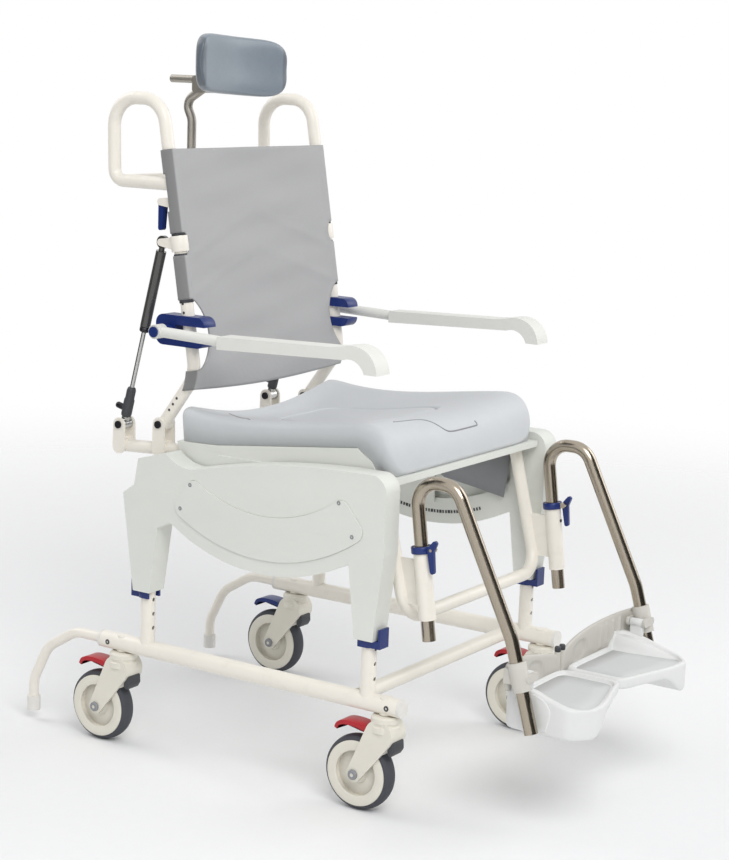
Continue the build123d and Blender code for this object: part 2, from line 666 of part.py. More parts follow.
with BuildPart() as seat_plate:
    side_block(SHELL_HALF_WIDTH, SEAT_LINE + SHELL_LOW)
    hollow = lowered(SEAT_LINE, SHELL_WALL)
    rear = SHELL_REAR - SHELL_WALL
    front = hollow[-1][0] + SHELL_WALL
    floor = SHELL_LOW[4][1] - 10
    side_block(SHELL_HALF_WIDTH - SHELL_WALL,
               [(rear, floor), (rear, hollow[0][1]), *hollow[1:4], (front, hollow[4][1]), (front, floor)],
               Mode.SUBTRACT)
    plan(APERTURE[0] - 2 * SEAT_RIM, APERTURE[1] - 2 * SEAT_RIM, APERTURE_CORNER - SEAT_RIM, floor, PAD_TOP,
         Mode.SUBTRACT)
    tube(SEAT_TUBE_ROUTE, HANGER_BEND, SEAT_TUBE_DIAMETER + 2 * CLEAR, mode=Mode.SUBTRACT)
save(seat_plate.part, "seat_plate")

with BuildPart() as seat_pad:
    side_block(PAD_HALF_WIDTH, SEAT_LINE + PAD_BACK)
    plan(*APERTURE, APERTURE_CORNER, SHELL_LIP, PAD_TOP + 1, Mode.SUBTRACT)
save(seat_pad.part, "seat_pad")

with BuildPart() as seat_insert:
    side_block(APERTURE[0] / 2, lowered(SEAT_LINE, -CLEAR) + PAD_BACK)
    plan(APERTURE[0] - 1, APERTURE[1] - 1, APERTURE_CORNER - 0.5, SHELL_LIP - 1, PAD_TOP + 1, Mode.INTERSECT)
save(seat_insert.part, "seat_insert")


# Tilt carriages and rollers
CARRIAGE_OUT = SHELL_HALF_WIDTH + CARRIAGE_THICKNESS
ROLLER_SHANK = 10.0
CARRIAGE_TOP = 536.0

with BuildPart() as tilt_carriages:
    for side in SIDES.values():
        with BuildSketch(yz(side * SHELL_HALF_WIDTH)) as plate:
            guide_band(GUIDE_RADIUS - 120, GUIDE_RADIUS + 20, (ROLLER_ANGLES[1] - 6, ROLLER_ANGLES[0] + 5))
            with Locations((TILT_CENTRE[0] + 100, CARRIAGE_TOP - 150)):
                Rectangle(400, 300, mode=Mode.INTERSECT)
            with Locations(*[polar(GUIDE_RADIUS, angle) for angle in ROLLER_ANGLES]):
                Circle(ROLLER_SHANK / 2 + RUNNING, mode=Mode.SUBTRACT)
        extrude(plate.sketch, amount=side * CARRIAGE_THICKNESS)
save(tilt_carriages.part, "tilt_carriages")

with BuildPart() as tilt_rollers:
    for side in SIDES.values():
        for angle in ROLLER_ANGLES:
            centre = polar(GUIDE_RADIUS, angle)
            along_x(centre, side * SHELL_HALF_WIDTH, side * (CARRIAGE_OUT + 1), ROLLER_SHANK)
            along_x(centre, side * (CARRIAGE_OUT + CLEAR), side * (FRAME_INNER + GUIDE_DEPTH - 2),
                    ROLLER_DIAMETER)
save(tilt_rollers.part, "tilt_rollers")


# Backrest tubes with the push handle loops
BACK_RUN = hypot(HANDLE_TOP[0] - BACK_KNEE[0], HANDLE_TOP[1] - BACK_KNEE[1])
BACK_LEAN = ((HANDLE_TOP[0] - BACK_KNEE[0]) / BACK_RUN, (HANDLE_TOP[1] - BACK_KNEE[1]) / BACK_RUN)
SADDLE = BACK_TUBE_DIAMETER + 2 * RUNNING


def back_y(z):
    """Y of the back tube's axis at a given height."""
    return BACK_KNEE[0] + (z - BACK_KNEE[1]) * BACK_LEAN[0] / BACK_LEAN[1]


def back_bore(x, low, high, diameter):
    """Cut along the back tube's straight run between two heights."""
    bar((x, back_y(low), low), (x, back_y(high), high), diameter, mode=Mode.SUBTRACT)


HANDLE_BAR_END = back_y(HANDLE_LOW[1]) + BACK_TUBE_DIAMETER / 2 + 20
BACK_ROUTE = [BACK_PIVOT, BACK_KNEE, HANDLE_TOP, (HANDLE_REAR, HANDLE_TOP[1]), HANDLE_LOW,
              (HANDLE_BAR_END, HANDLE_LOW[1])]
BACK_BENDS = [KNEE_BEND, HANDLE_BEND, HANDLE_BEND, HANDLE_LOW_BEND]
LEVER_PIN_DIAMETER = 5.0
LEVER_EAR = 3.0
LEVER_HUB = 6.0


def back_tube(side):
    """Back tube from its pivot up through the push handle, with the lever's two ears."""
    x = side * SEAT_TUBE_X
    boss = EAR_GAP / 2 - CLEAR
    ear_in = LEVER_WIDTH / 2 + CLEAR
    with BuildPart() as back:
        tube(at_x(x, BACK_ROUTE), BACK_BENDS, BACK_TUBE_DIAMETER)
        bar((x, HANDLE_BAR_END, HANDLE_LOW[1]), (x, back_y(HANDLE_LOW[1]), HANDLE_LOW[1]),
            BACK_TUBE_DIAMETER)
        for low in (-ear_in - LEVER_EAR, ear_in):
            tapered_plate(yz(x + low), LEVER_EAR, LEVER_PIVOT, LEVER_HUB,
                          (back_y(LEVER_PIVOT[1]), LEVER_PIVOT[1]), LEVER_HUB + 3)
        tube(at_x(x, BACK_ROUTE), BACK_BENDS, BACK_TUBE_DIAMETER - 2 * TUBE_WALL, mode=Mode.SUBTRACT)
        along_x(LEVER_PIVOT, x - ear_in - LEVER_EAR, x + ear_in + LEVER_EAR, LEVER_PIN_DIAMETER)
        along_x(BACK_PIVOT, x - boss, x + boss, 2 * EAR_RADIUS)
        along_x(BACK_PIVOT, x - boss, x + boss, PIVOT_DIAMETER + 2 * RUNNING, mode=Mode.SUBTRACT)
    return back.part


def squeeze_lever(side):
    """Short release lever hanging under the push handle."""
    x = side * SEAT_TUBE_X
    y, z = LEVER_PIVOT
    with BuildPart() as lever:
        tapered_plate(yz(x - LEVER_WIDTH / 2), LEVER_WIDTH, LEVER_PIVOT, LEVER_HUB,
                      (y + 2, z - LEVER_LENGTH), LEVER_HUB - 2)
        along_x(LEVER_PIVOT, x - LEVER_WIDTH, x + LEVER_WIDTH, LEVER_PIN_DIAMETER + 2 * RUNNING,
                mode=Mode.SUBTRACT)
    return lever.part


for name, side in SIDES.items():
    save(back_tube(side), f"back_tube_{name}")
    save(squeeze_lever(side), f"squeeze_lever_{name}")


# Rear cross tube with the headrest socket
SOCKET_WALL = 5.0
REAR_TUBE_Y = HEAD_POST_Y - POST_ROD_DIAMETER / 2 - REAR_TUBE_DIAMETER / 2 - 3
SOCKET_FRONT = REAR_TUBE_Y - REAR_TUBE_DIAMETER / 2 - SOCKET_WALL
SOCKET_REAR = HEAD_POST_Y + POST_ROD_DIAMETER / 2 + SOCKET_WALL
REAR_TUBE_Z = HANDLE_LOW[1]
SOCKET_HEIGHT = REAR_TUBE_DIAMETER + 2 * SOCKET_WALL

with BuildPart() as back_cross_tube:
    reach = SEAT_TUBE_X - BACK_TUBE_DIAMETER / 2 - CLEAR
    bar((-reach, REAR_TUBE_Y, REAR_TUBE_Z), (reach, REAR_TUBE_Y, REAR_TUBE_Z), REAR_TUBE_DIAMETER)
    with BuildSketch(Plane.XY.offset(REAR_TUBE_Z - SOCKET_HEIGHT / 2)) as socket:
        with Locations((0, (SOCKET_FRONT + SOCKET_REAR) / 2)):
            RectangleRounded(POST_ROD_DIAMETER + 4 * SOCKET_WALL, SOCKET_REAR - SOCKET_FRONT, SOCKET_WALL)
    extrude(socket.sketch, amount=SOCKET_HEIGHT)
    bar((-reach, REAR_TUBE_Y, REAR_TUBE_Z), (reach, REAR_TUBE_Y, REAR_TUBE_Z),
        REAR_TUBE_DIAMETER - 2 * TUBE_WALL, mode=Mode.SUBTRACT)
    bar((0, HEAD_POST_Y, REAR_TUBE_Z - SOCKET_HEIGHT), (0, HEAD_POST_Y, REAR_TUBE_Z + SOCKET_HEIGHT),
        POST_ROD_DIAMETER + 2 * CLEAR, mode=Mode.SUBTRACT)
save(back_cross_tube.part, "back_cross_tube")


# Back cloth: a sleeve over both tubes, open at the back between three straps
CLOTH_PLANE = Plane(origin=(0, *BACK_KNEE), x_dir=(1, 0, 0), z_dir=(0, *BACK_LEAN))
CLOTH_IN = BACK_TUBE_DIAMETER / 2 + CLEAR
CLOTH_OUT = CLOTH_IN + CLOTH_THICKNESS
CLAMP_ROW = (ARM_PIVOT[1] - BACK_KNEE[1]) / BACK_LEAN[1]
BRACKET_ROW = (STRUT_HEAD[1] - BACK_KNEE[1]) / BACK_LEAN[1]
LEVER_ROW = (LEVER_PIVOT[1] - BACK_KNEE[1]) / BACK_LEAN[1]
CLAMP_WINDOW = (CLAMP_ROW - 34, CLAMP_ROW + 30)
BRACKET_WINDOW = (BRACKET_ROW - 20, BRACKET_ROW + 18)
LEVER_WINDOW = (LEVER_ROW - 14, CLOTH_TOP - 40)


def cloth_cut(x, width, y_from, y_to, low, high):
    """Cut a box from the cloth, in the cloth's own plane."""
    with BuildSketch(CLOTH_PLANE.offset(low)) as window:
        with Locations((x, (y_from + y_to) / 2)):
            Rectangle(width, y_to - y_from)
    extrude(window.sketch, amount=high - low, mode=Mode.SUBTRACT)


with BuildPart() as back_cover:
    with BuildSketch(CLOTH_PLANE.offset(CLOTH_SLEEVE_LOW)) as sleeve:
        SlotCenterToCenter(2 * SEAT_TUBE_X, 2 * CLOTH_OUT)
        SlotCenterToCenter(2 * SEAT_TUBE_X, 2 * CLOTH_IN, mode=Mode.SUBTRACT)
    extrude(sleeve.sketch, amount=CLOTH_TOP - CLOTH_SLEEVE_LOW)
    with BuildSketch(CLOTH_PLANE.offset(CLOTH_LOW)) as front_panel:
        with Locations((0, -(CLOTH_IN + CLOTH_OUT) / 2)):
            Rectangle(2 * SEAT_TUBE_X, CLOTH_THICKNESS)
    extrude(front_panel.sketch, amount=CLOTH_SLEEVE_LOW - CLOTH_LOW)
    open_width = 2 * (SEAT_TUBE_X - CLOTH_HEM)
    edges = [CLOTH_SLEEVE_LOW]
    for row in STRAP_ROWS:
        edges += [row - STRAP_WIDTH / 2, row + STRAP_WIDTH / 2]
    edges.append(CLOTH_TOP)
    for low, high in zip(edges[::2], edges[1::2]):
        cloth_cut(0, open_width, 0, 2 * CLOTH_OUT, low, high)
    for side in SIDES.values():
        x = side * SEAT_TUBE_X
        cloth_cut(x, 4 * CLOTH_OUT, -2 * CLOTH_OUT, 2 * CLOTH_OUT, *CLAMP_WINDOW)
        cloth_cut(x, 4 * CLOTH_OUT, -2 * CLOTH_OUT, 2 * CLOTH_OUT, *BRACKET_WINDOW)
        cloth_cut(x, 4 * CLOTH_OUT, -CLOTH_IN + 1, 2 * CLOTH_OUT, *LEVER_WINDOW)
save(back_cover.part, "back_cover")


# Gas springs: brackets on the back tubes, rods on the seat frame, cylinders between
STRUT_SPAN = hypot(STRUT_HEAD[0] - STRUT_FOOT[0], STRUT_HEAD[1] - STRUT_FOOT[1])
STRUT_LINE = ((STRUT_HEAD[0] - STRUT_FOOT[0]) / STRUT_SPAN, (STRUT_HEAD[1] - STRUT_FOOT[1]) / STRUT_SPAN)
EYE_HALF = 4.0
NECK_DIAMETER = 10.0
EYE_RADIUS = STRUT_PIN_DIAMETER / 2 + STRUT_PIN_PLAY + 4
ROD_EYE_RADIUS = 10.0
ROD_FOOT_LENGTH = 44.0
ROD_FOOT_DIAMETER = 14.0
BRACKET_EAR = 4.0
BRACKET_HALF_HEIGHT = 13.0


def strut_point(distance):
    """(Y, Z) point on the gas spring's axis, measured up from its foot pin."""
    return (STRUT_FOOT[0] + distance * STRUT_LINE[0], STRUT_FOOT[1] + distance * STRUT_LINE[1])


with BuildPart() as strut_brackets:
    for side in SIDES.values():
        x = side * SEAT_TUBE_X
        ear_in = EYE_HALF + CLEAR + 0.5
        low = STRUT_HEAD[1] - BRACKET_HALF_HEIGHT
        high = STRUT_HEAD[1] + BRACKET_HALF_HEIGHT
        bar((x, back_y(low), low), (x, back_y(high), high), BACK_TUBE_DIAMETER + 8)
        for start in (-ear_in - BRACKET_EAR, ear_in):
            tapered_plate(yz(x + start), BRACKET_EAR, STRUT_HEAD, STRUT_PIN_DIAMETER,
                          (back_y(STRUT_HEAD[1]), STRUT_HEAD[1]), BRACKET_HALF_HEIGHT - 1)
        back_bore(x, low - BRACKET_HALF_HEIGHT, high + BRACKET_HALF_HEIGHT, SADDLE)
        along_x(STRUT_HEAD, x - ear_in - BRACKET_EAR, x + ear_in + BRACKET_EAR, STRUT_PIN_DIAMETER)
save(strut_brackets.part, "strut_brackets")

with BuildPart() as strut_cylinders:
    for side in SIDES.values():
        x = side * SEAT_TUBE_X
        shoulder = STRUT_SPAN - EYE_RADIUS - 5
        bar((x, *strut_point(CYLINDER_FOOT)), (x, *strut_point(shoulder)), CYLINDER_DIAMETER)
        bar((x, *strut_point(shoulder)), (x, *strut_point(STRUT_SPAN - EYE_RADIUS + 2)), NECK_DIAMETER)
        along_x(STRUT_HEAD, x - EYE_HALF, x + EYE_HALF, 2 * EYE_RADIUS)
        along_x(STRUT_HEAD, x - EYE_HALF, x + EYE_HALF, STRUT_PIN_DIAMETER + 2 * STRUT_PIN_PLAY,
                mode=Mode.SUBTRACT)
        bar((x, *strut_point(CYLINDER_FOOT)), (x, *strut_point(shoulder - 6)), ROD_DIAMETER + 1,
            mode=Mode.SUBTRACT)
save(strut_cylinders.part, "strut_cylinders")

with BuildPart() as strut_rods:
    for side in SIDES.values():
        x = side * SEAT_TUBE_X
        half = EAR_GAP / 2 - CLEAR
        along_x(STRUT_FOOT, x - half, x + half, 2 * ROD_EYE_RADIUS)
        bar((x, *STRUT_FOOT), (x, *strut_point(ROD_FOOT_LENGTH)), ROD_FOOT_DIAMETER)
        bar((x, *strut_point(ROD_FOOT_LENGTH)), (x, *strut_point(ROD_TOP)), ROD_DIAMETER)
        along_x(STRUT_FOOT, x - half, x + half, PIVOT_DIAMETER + 2 * RUNNING, mode=Mode.SUBTRACT)
save(strut_rods.part, "strut_rods")


# Armrest brackets and armrests
JAW_GAP = 20.0
CLAMP_REAR = ARM_PIVOT[0] + 28
CLAMP_FRONT = back_y(ARM_PIVOT[1]) - BACK_TUBE_DIAMETER / 2 - CLAMP_WALL - 26
CLAMP_HALF_WIDTH = BACK_TUBE_DIAMETER / 2 + CLAMP_WALL
CLAMP_HALF_HEIGHT = 26.0
ARM_HUB_RADIUS = 12.0
ARM_HUB_HALF = 11.0
ARM_PIN_HEAD = ARM_PIN_DIAMETER + 8
ARM_PIN_HEAD_HEIGHT = 3.0
JAW_CORNER = 15.0


def arm_clamp(side):
    """Bracket with two jaws round the back tube and the armrest's pivot pin behind it."""
    x = side * SEAT_TUBE_X
    outer = side * (SEAT_TUBE_X + CLAMP_HALF_WIDTH)
    z = ARM_PIVOT[1]
    with BuildPart() as clamp:
        with BuildSketch(yz(x - CLAMP_HALF_WIDTH)) as jaws:
            with Locations(((CLAMP_FRONT + CLAMP_REAR) / 2, z)):
                RectangleRounded(CLAMP_REAR - CLAMP_FRONT, 2 * CLAMP_HALF_HEIGHT, JAW_CORNER)
            with Locations(((CLAMP_FRONT + ARM_PIVOT[0]) / 2 - ARM_HUB_RADIUS, z)):
                Rectangle(ARM_PIVOT[0] - CLAMP_FRONT, JAW_GAP, mode=Mode.SUBTRACT)
        extrude(jaws.sketch, amount=2 * CLAMP_HALF_WIDTH)
        back_bore(x, z - 2 * CLAMP_HALF_HEIGHT, z + 2 * CLAMP_HALF_HEIGHT, SADDLE)
        pin_end = side * (ARM_X + ARM_HUB_HALF + ARM_PIN_HEAD_HEIGHT)
        along_x(ARM_PIVOT, outer, pin_end, ARM_PIN_DIAMETER)
        along_x(ARM_PIVOT, side * (ARM_X + ARM_HUB_HALF + CLEAR), pin_end, ARM_PIN_HEAD)
        along_x(ARM_PIVOT, outer, side * (ARM_X - ARM_HUB_HALF - CLEAR), ARM_PIN_HEAD)
    return clamp.part


ARM_RISE = 13.0
HOOK_DROP = 43.0


def arm_outline():
    """Side view of the arm pad: a slim bar that swells and curls down at the front."""
    rear, front = ARM_PAD_REAR, ARM_PAD_FRONT
    top = ARM_PIVOT[1] + ARM_PAD_THICKNESS / 2 - 4
    crest = top + ARM_RISE
    with BuildLine() as outline:
        Line((rear, top - ARM_PAD_THICKNESS), (rear, top))
        Line((rear, top), (front + 92, crest - 6))
        Spline((front + 92, crest - 6), (front + 43, crest), (front, crest - HOOK_DROP),
               tangents=((-1, 0.05), (-0.1, -1)))
        Line((front, crest - HOOK_DROP), (front + 24, crest - HOOK_DROP))
        ThreePointArc((front + 24, crest - HOOK_DROP), (front + 36, crest - 27), (front + 64, crest - 24))
        Line((front + 64, crest - 24), (rear, top - ARM_PAD_THICKNESS))
    make_face(outline.edges())


def armrest(side):
    """Pivot hub, bar and moulded arm pad."""
    x = side * ARM_X
    bar_end = (ARM_PAD_REAR - 4, ARM_PIVOT[1] - 4)
    with BuildPart() as arm:
        bar((x, *ARM_PIVOT), (x, *bar_end), ARM_BAR_DIAMETER)
        along_x(ARM_PIVOT, x - ARM_HUB_HALF, x + ARM_HUB_HALF, 2 * ARM_HUB_RADIUS)
        with BuildSketch(yz(x - ARM_PAD_WIDTH / 2)) as pad:
            arm_outline()
        extrude(pad.sketch, amount=ARM_PAD_WIDTH)
        along_x(ARM_PIVOT, x - ARM_HUB_HALF, x + ARM_HUB_HALF, ARM_PIN_DIAMETER + 2 * RUNNING,
                mode=Mode.SUBTRACT)
    return arm.part


for name, side in SIDES.items():
    save(arm_clamp(side), f"arm_clamp_{name}")
    save(armrest(side), f"armrest_{name}")


# Headrest
HEAD_ROD_Z = HEAD_PIVOT[1]
BLOCK_Y, BLOCK_Z = HEAD_BLOCK_CENTRE
HEAD_HUB_RADIUS = 9.0
HEAD_HUB_HALF = 12.0
HEAD_LUG = 5.0
HEAD_PIN_DIAMETER = 8.0
HEAD_POST_ROUTE = [(HEAD_POST_Y, HEAD_POST_LOW), (HEAD_POST_Y, BLOCK_Z - 62),
                   (HEAD_POST_Y + 15, BLOCK_Z - 32), (BLOCK_Y, BLOCK_Z - 6)]
HEAD_POST_BENDS = [28.0, 20.0]

with BuildPart() as headrest_post:
    tube(at_x(0, HEAD_POST_ROUTE), HEAD_POST_BENDS, POST_ROD_DIAMETER)
    with BuildSketch(yz(-HEAD_BLOCK[0] / 2)) as block:
        with Locations(HEAD_BLOCK_CENTRE):
            RectangleRounded(HEAD_BLOCK[1], HEAD_BLOCK[2], 6)
    extrude(block.sketch, amount=HEAD_BLOCK[0])
    bar((0, BLOCK_Y - HEAD_BLOCK[1], HEAD_ROD_Z), (0, HEAD_ROD_REAR, HEAD_ROD_Z),
        HEAD_ROD_DIAMETER + 2 * CLEAR, mode=Mode.SUBTRACT)
save(headrest_post.part, "headrest_post")

with BuildPart() as headrest_rod:
    bar((0, *HEAD_PIVOT), (0, HEAD_ROD_REAR, HEAD_ROD_Z), HEAD_ROD_DIAMETER)
    along_x(HEAD_PIVOT, -HEAD_HUB_HALF, HEAD_HUB_HALF, 2 * HEAD_HUB_RADIUS)
    along_x(HEAD_PIVOT, -HEAD_HUB_HALF, HEAD_HUB_HALF, HEAD_PIN_DIAMETER + 2 * RUNNING, mode=Mode.SUBTRACT)
save(headrest_rod.part, "headrest_rod")

LUG_OUT = HEAD_HUB_HALF + CLEAR + HEAD_LUG
LUG_ROOT = (HEAD_PAD_BACK_Y - 10, HEAD_PIVOT[1])
LUG_ROOT_RADIUS = 14.0

with BuildPart() as headrest_pad:
    with BuildSketch(Plane.XY.offset(HEAD_PAD_LOW)) as cushion:
        with BuildLine() as outline:
            wing = HEAD_PAD_HALF_WIDTH
            tip = HEAD_PAD_EDGE_Y
            heel = tip + HEAD_PAD_TIP
            back = ThreePointArc((-wing, heel), (0, HEAD_PAD_BACK_Y), (wing, heel))
            face = ThreePointArc((-wing, tip), (0, HEAD_PAD_BACK_Y - HEAD_PAD_THICKNESS), (wing, tip))
            Line(back @ 0, face @ 0)
            Line(back @ 1, face @ 1)
        make_face()
        fillet(cushion.vertices(), HEAD_PAD_TIP / 2 - 1)
    extrude(cushion.sketch, amount=HEAD_PAD_HEIGHT)
    fillet(headrest_pad.faces().sort_by(Axis.Z)[0].edges(), HEAD_PAD_ROUND)
    fillet(headrest_pad.faces().sort_by(Axis.Z)[-1].edges(), HEAD_PAD_ROUND)
    for low in (-LUG_OUT, HEAD_HUB_HALF + CLEAR):
        tapered_plate(yz(low), HEAD_LUG, HEAD_PIVOT, HEAD_HUB_RADIUS, LUG_ROOT, LUG_ROOT_RADIUS)
    along_x(HEAD_PIVOT, -LUG_OUT - KNOB_LENGTH, LUG_OUT, HEAD_PIN_DIAMETER)
save(headrest_pad.part, "headrest_pad")

with BuildPart() as headrest_knob:
    low = -LUG_OUT - CLEAR - KNOB_LENGTH + 4
    crank = (HEAD_PIVOT[0] + 9, HEAD_PIVOT[1] + 46)
    tapered_plate(yz(low), KNOB_LENGTH - 4, HEAD_PIVOT, KNOB_DIAMETER / 2, crank, 8)
    along_x(HEAD_PIVOT, low - 1, low + KNOB_LENGTH, HEAD_PIN_DIAMETER + 2 * RUNNING, mode=Mode.SUBTRACT)
save(headrest_knob.part, "headrest_knob")


# Legrests: hanger tube, footplate mount, footplate, heel band and catch
LEG_TUBE_LOW = -34.0
RING_HEIGHT = 10.0
RING_DIAMETER = SLEEVE_DIAMETER + 2
CATCH_PIN_DIAMETER = 5.0
CATCH_OFFSET = 22.0
CATCH_HUB = 6.0
CATCH_THICKNESS = 6.0
LUG_HALF = 4.0
RING_LOW = SLEEVE_LENGTH + CLEAR
LEG_DROP = hypot(LEG_FOOT[0] - LEG_KNEE[0], LEG_FOOT[1] - LEG_KNEE[1])
LEG_LINE = ((LEG_FOOT[0] - LEG_KNEE[0]) / LEG_DROP, (LEG_FOOT[1] - LEG_KNEE[1]) / LEG_DROP)


def axis_y(z):
    """Y of the sleeve axis at a given height."""
    return SLEEVE_BOTTOM[0] + (z - SLEEVE_BOTTOM[1]) * sin(RAKE) / cos(RAKE)


def leg_point(z):
    """(Y, Z) point on the lower legrest tube's axis at a given height."""
    return (LEG_KNEE[0] + (z - LEG_KNEE[1]) * LEG_LINE[0] / LEG_LINE[1], z)


RING_CENTRE = sleeve_point(RING_LOW + RING_HEIGHT / 2)
CATCH_PIVOT = (RING_CENTRE[0] - CATCH_OFFSET * cos(RAKE), RING_CENTRE[1] + CATCH_OFFSET * sin(RAKE))
LEG_ROUTE = [sleeve_point(LEG_TUBE_LOW), (axis_y(LEG_ARCH_TOP), LEG_ARCH_TOP),
             (LEG_ARCH_FRONT, LEG_ARCH_TOP), LEG_KNEE, LEG_FOOT]
LEG_BENDS = [LEG_ARCH_BEND, LEG_ARCH_BEND, LEG_KNEE_BEND]


def legrest(side):
    """Swing-away hanger tube with its resting ring and the catch's lug and pin."""
    x = side * SLEEVE_X
    with BuildPart() as hanger:
        tube(at_x(x, LEG_ROUTE), LEG_BENDS, LEG_TUBE_DIAMETER)
        bar((x, *sleeve_point(RING_LOW)), (x, *sleeve_point(RING_LOW + RING_HEIGHT)), RING_DIAMETER)
        tapered_plate(yz(x - LUG_HALF), 2 * LUG_HALF, CATCH_PIVOT, RING_HEIGHT / 2 - CLEAR,
                      RING_CENTRE, RING_HEIGHT / 2 - CLEAR)
        tube(at_x(x, LEG_ROUTE), LEG_BENDS, LEG_TUBE_DIAMETER - 2 * TUBE_WALL, mode=Mode.SUBTRACT)
        along_x(CATCH_PIVOT, x - LUG_HALF, x + side * (LUG_HALF + CATCH_THICKNESS), CATCH_PIN_DIAMETER)
    return hanger.part


def leg_catch(side):
    """Small lever on the hanger's lug that hooks over the sleeve."""
    x = side * (SLEEVE_X + LUG_HALF + CLEAR)
    y, z = CATCH_PIVOT
    with BuildPart() as catch:
        tapered_plate(yz(x), side * CATCH_THICKNESS, CATCH_PIVOT, CATCH_HUB,
                      (y - CATCH_LENGTH * sin(RAKE), z - CATCH_LENGTH * cos(RAKE)), CATCH_HUB - 2)
        tapered_plate(yz(x), side * CATCH_THICKNESS, CATCH_PIVOT, CATCH_HUB, (y - 7, z + 12), CATCH_HUB - 2)
        along_x(CATCH_PIVOT, x, x + side * CATCH_THICKNESS, CATCH_PIN_DIAMETER + 2 * RUNNING,
                mode=Mode.SUBTRACT)
    return catch.part


COLLAR_DIAMETER = LEG_TUBE_DIAMETER + 2 * FOOT_COLLAR_WALL
FOOT_COLLAR_LOW = FOOT_COLLAR_TOP - FOOT_COLLAR_LENGTH
PLATE_PIN_Y = leg_point(PLATE_PIN_Z)[0]
BARREL_HALF = 12.0
PLATE_EAR = 6.0
PLATE_EAR_RADIUS = 7.0
HEEL_START_Y = leg_point(FOOT_COLLAR_TOP)[0] + COLLAR_DIAMETER / 2 + 3


def along_y(centre, y_from, y_to, diameter, mode=Mode.ADD):
    """Round bar parallel to Y through an (X, Z) centre."""
    bar((centre[0], y_from, centre[1]), (centre[0], y_to, centre[1]), diameter, mode=mode)


def footplate_mount(side):
    """Collar on the legrest tube with two ears and the footplate's hinge pin."""
    x = side * SLEEVE_X
    pin_x = side * PLATE_PIN_X
    with BuildPart() as mount:
        bar((x, *leg_point(FOOT_COLLAR_TOP)), (x, *leg_point(FOOT_COLLAR_LOW)), COLLAR_DIAMETER)
        for y_from in (PLATE_PIN_Y - BARREL_HALF - PLATE_EAR, PLATE_PIN_Y + BARREL_HALF):
            tapered_plate(Plane.XZ.offset(-y_from), -PLATE_EAR, (pin_x, PLATE_PIN_Z), PLATE_EAR_RADIUS,
                          (x, PLATE_PIN_Z), PLATE_EAR_RADIUS)
        with BuildSketch(Plane.XY.offset(PLATE_PIN_Z - 12)) as lug:
            with Locations((x, (PLATE_PIN_Y + HEEL_START_Y) / 2)):
                Rectangle(COLLAR_DIAMETER / 2, HEEL_START_Y - PLATE_PIN_Y)
        extrude(lug.sketch, amount=24)
        bar((x, *leg_point(FOOT_COLLAR_TOP + 20)), (x, *leg_point(FOOT_COLLAR_LOW - 20)),
            LEG_TUBE_DIAMETER + 2 * RUNNING, mode=Mode.SUBTRACT)
        along_y((pin_x, PLATE_PIN_Z), PLATE_PIN_Y - BARREL_HALF - PLATE_EAR,
                PLATE_PIN_Y + BARREL_HALF + PLATE_EAR, PLATE_PIN_DIAMETER)
    return mount.part


PLATE_TOP = PLATE_TREAD_Z + PLATE_RIM
PLATE_BOTTOM = PLATE_TREAD_Z - PLATE_DEPTH_OUTER
PLATE_CORNER = 14.0
PLATE_NOSE = 45.0
WEDGE_START = 50.0
DISH_INSET = 9.0
DISH_CORNER = 8.0
CHEEK_TOP = PLATE_PIN_Z - 12
CHEEK_LOW = PLATE_TREAD_Z - 4
CHEEK_CREST_Y = PLATE_PIN_Y - 20
CHEEK_LAP = 10.0


def plate_plan(side, inset):
    """Plan outline of a footplate, drawn in by an inset."""
    Polygon((side * (PLATE_INNER_X + inset), PLATE_REAR - inset),
            (side * (PLATE_OUTER_X - inset), PLATE_REAR - inset),
            (side * (PLATE_OUTER_X - inset), PLATE_FRONT_OUTER + inset),
            (side * (PLATE_OUTER_X - PLATE_NOSE), PLATE_FRONT_OUTER + inset),
            (side * (PLATE_INNER_X + inset), PLATE_FRONT_INNER + inset), align=None)


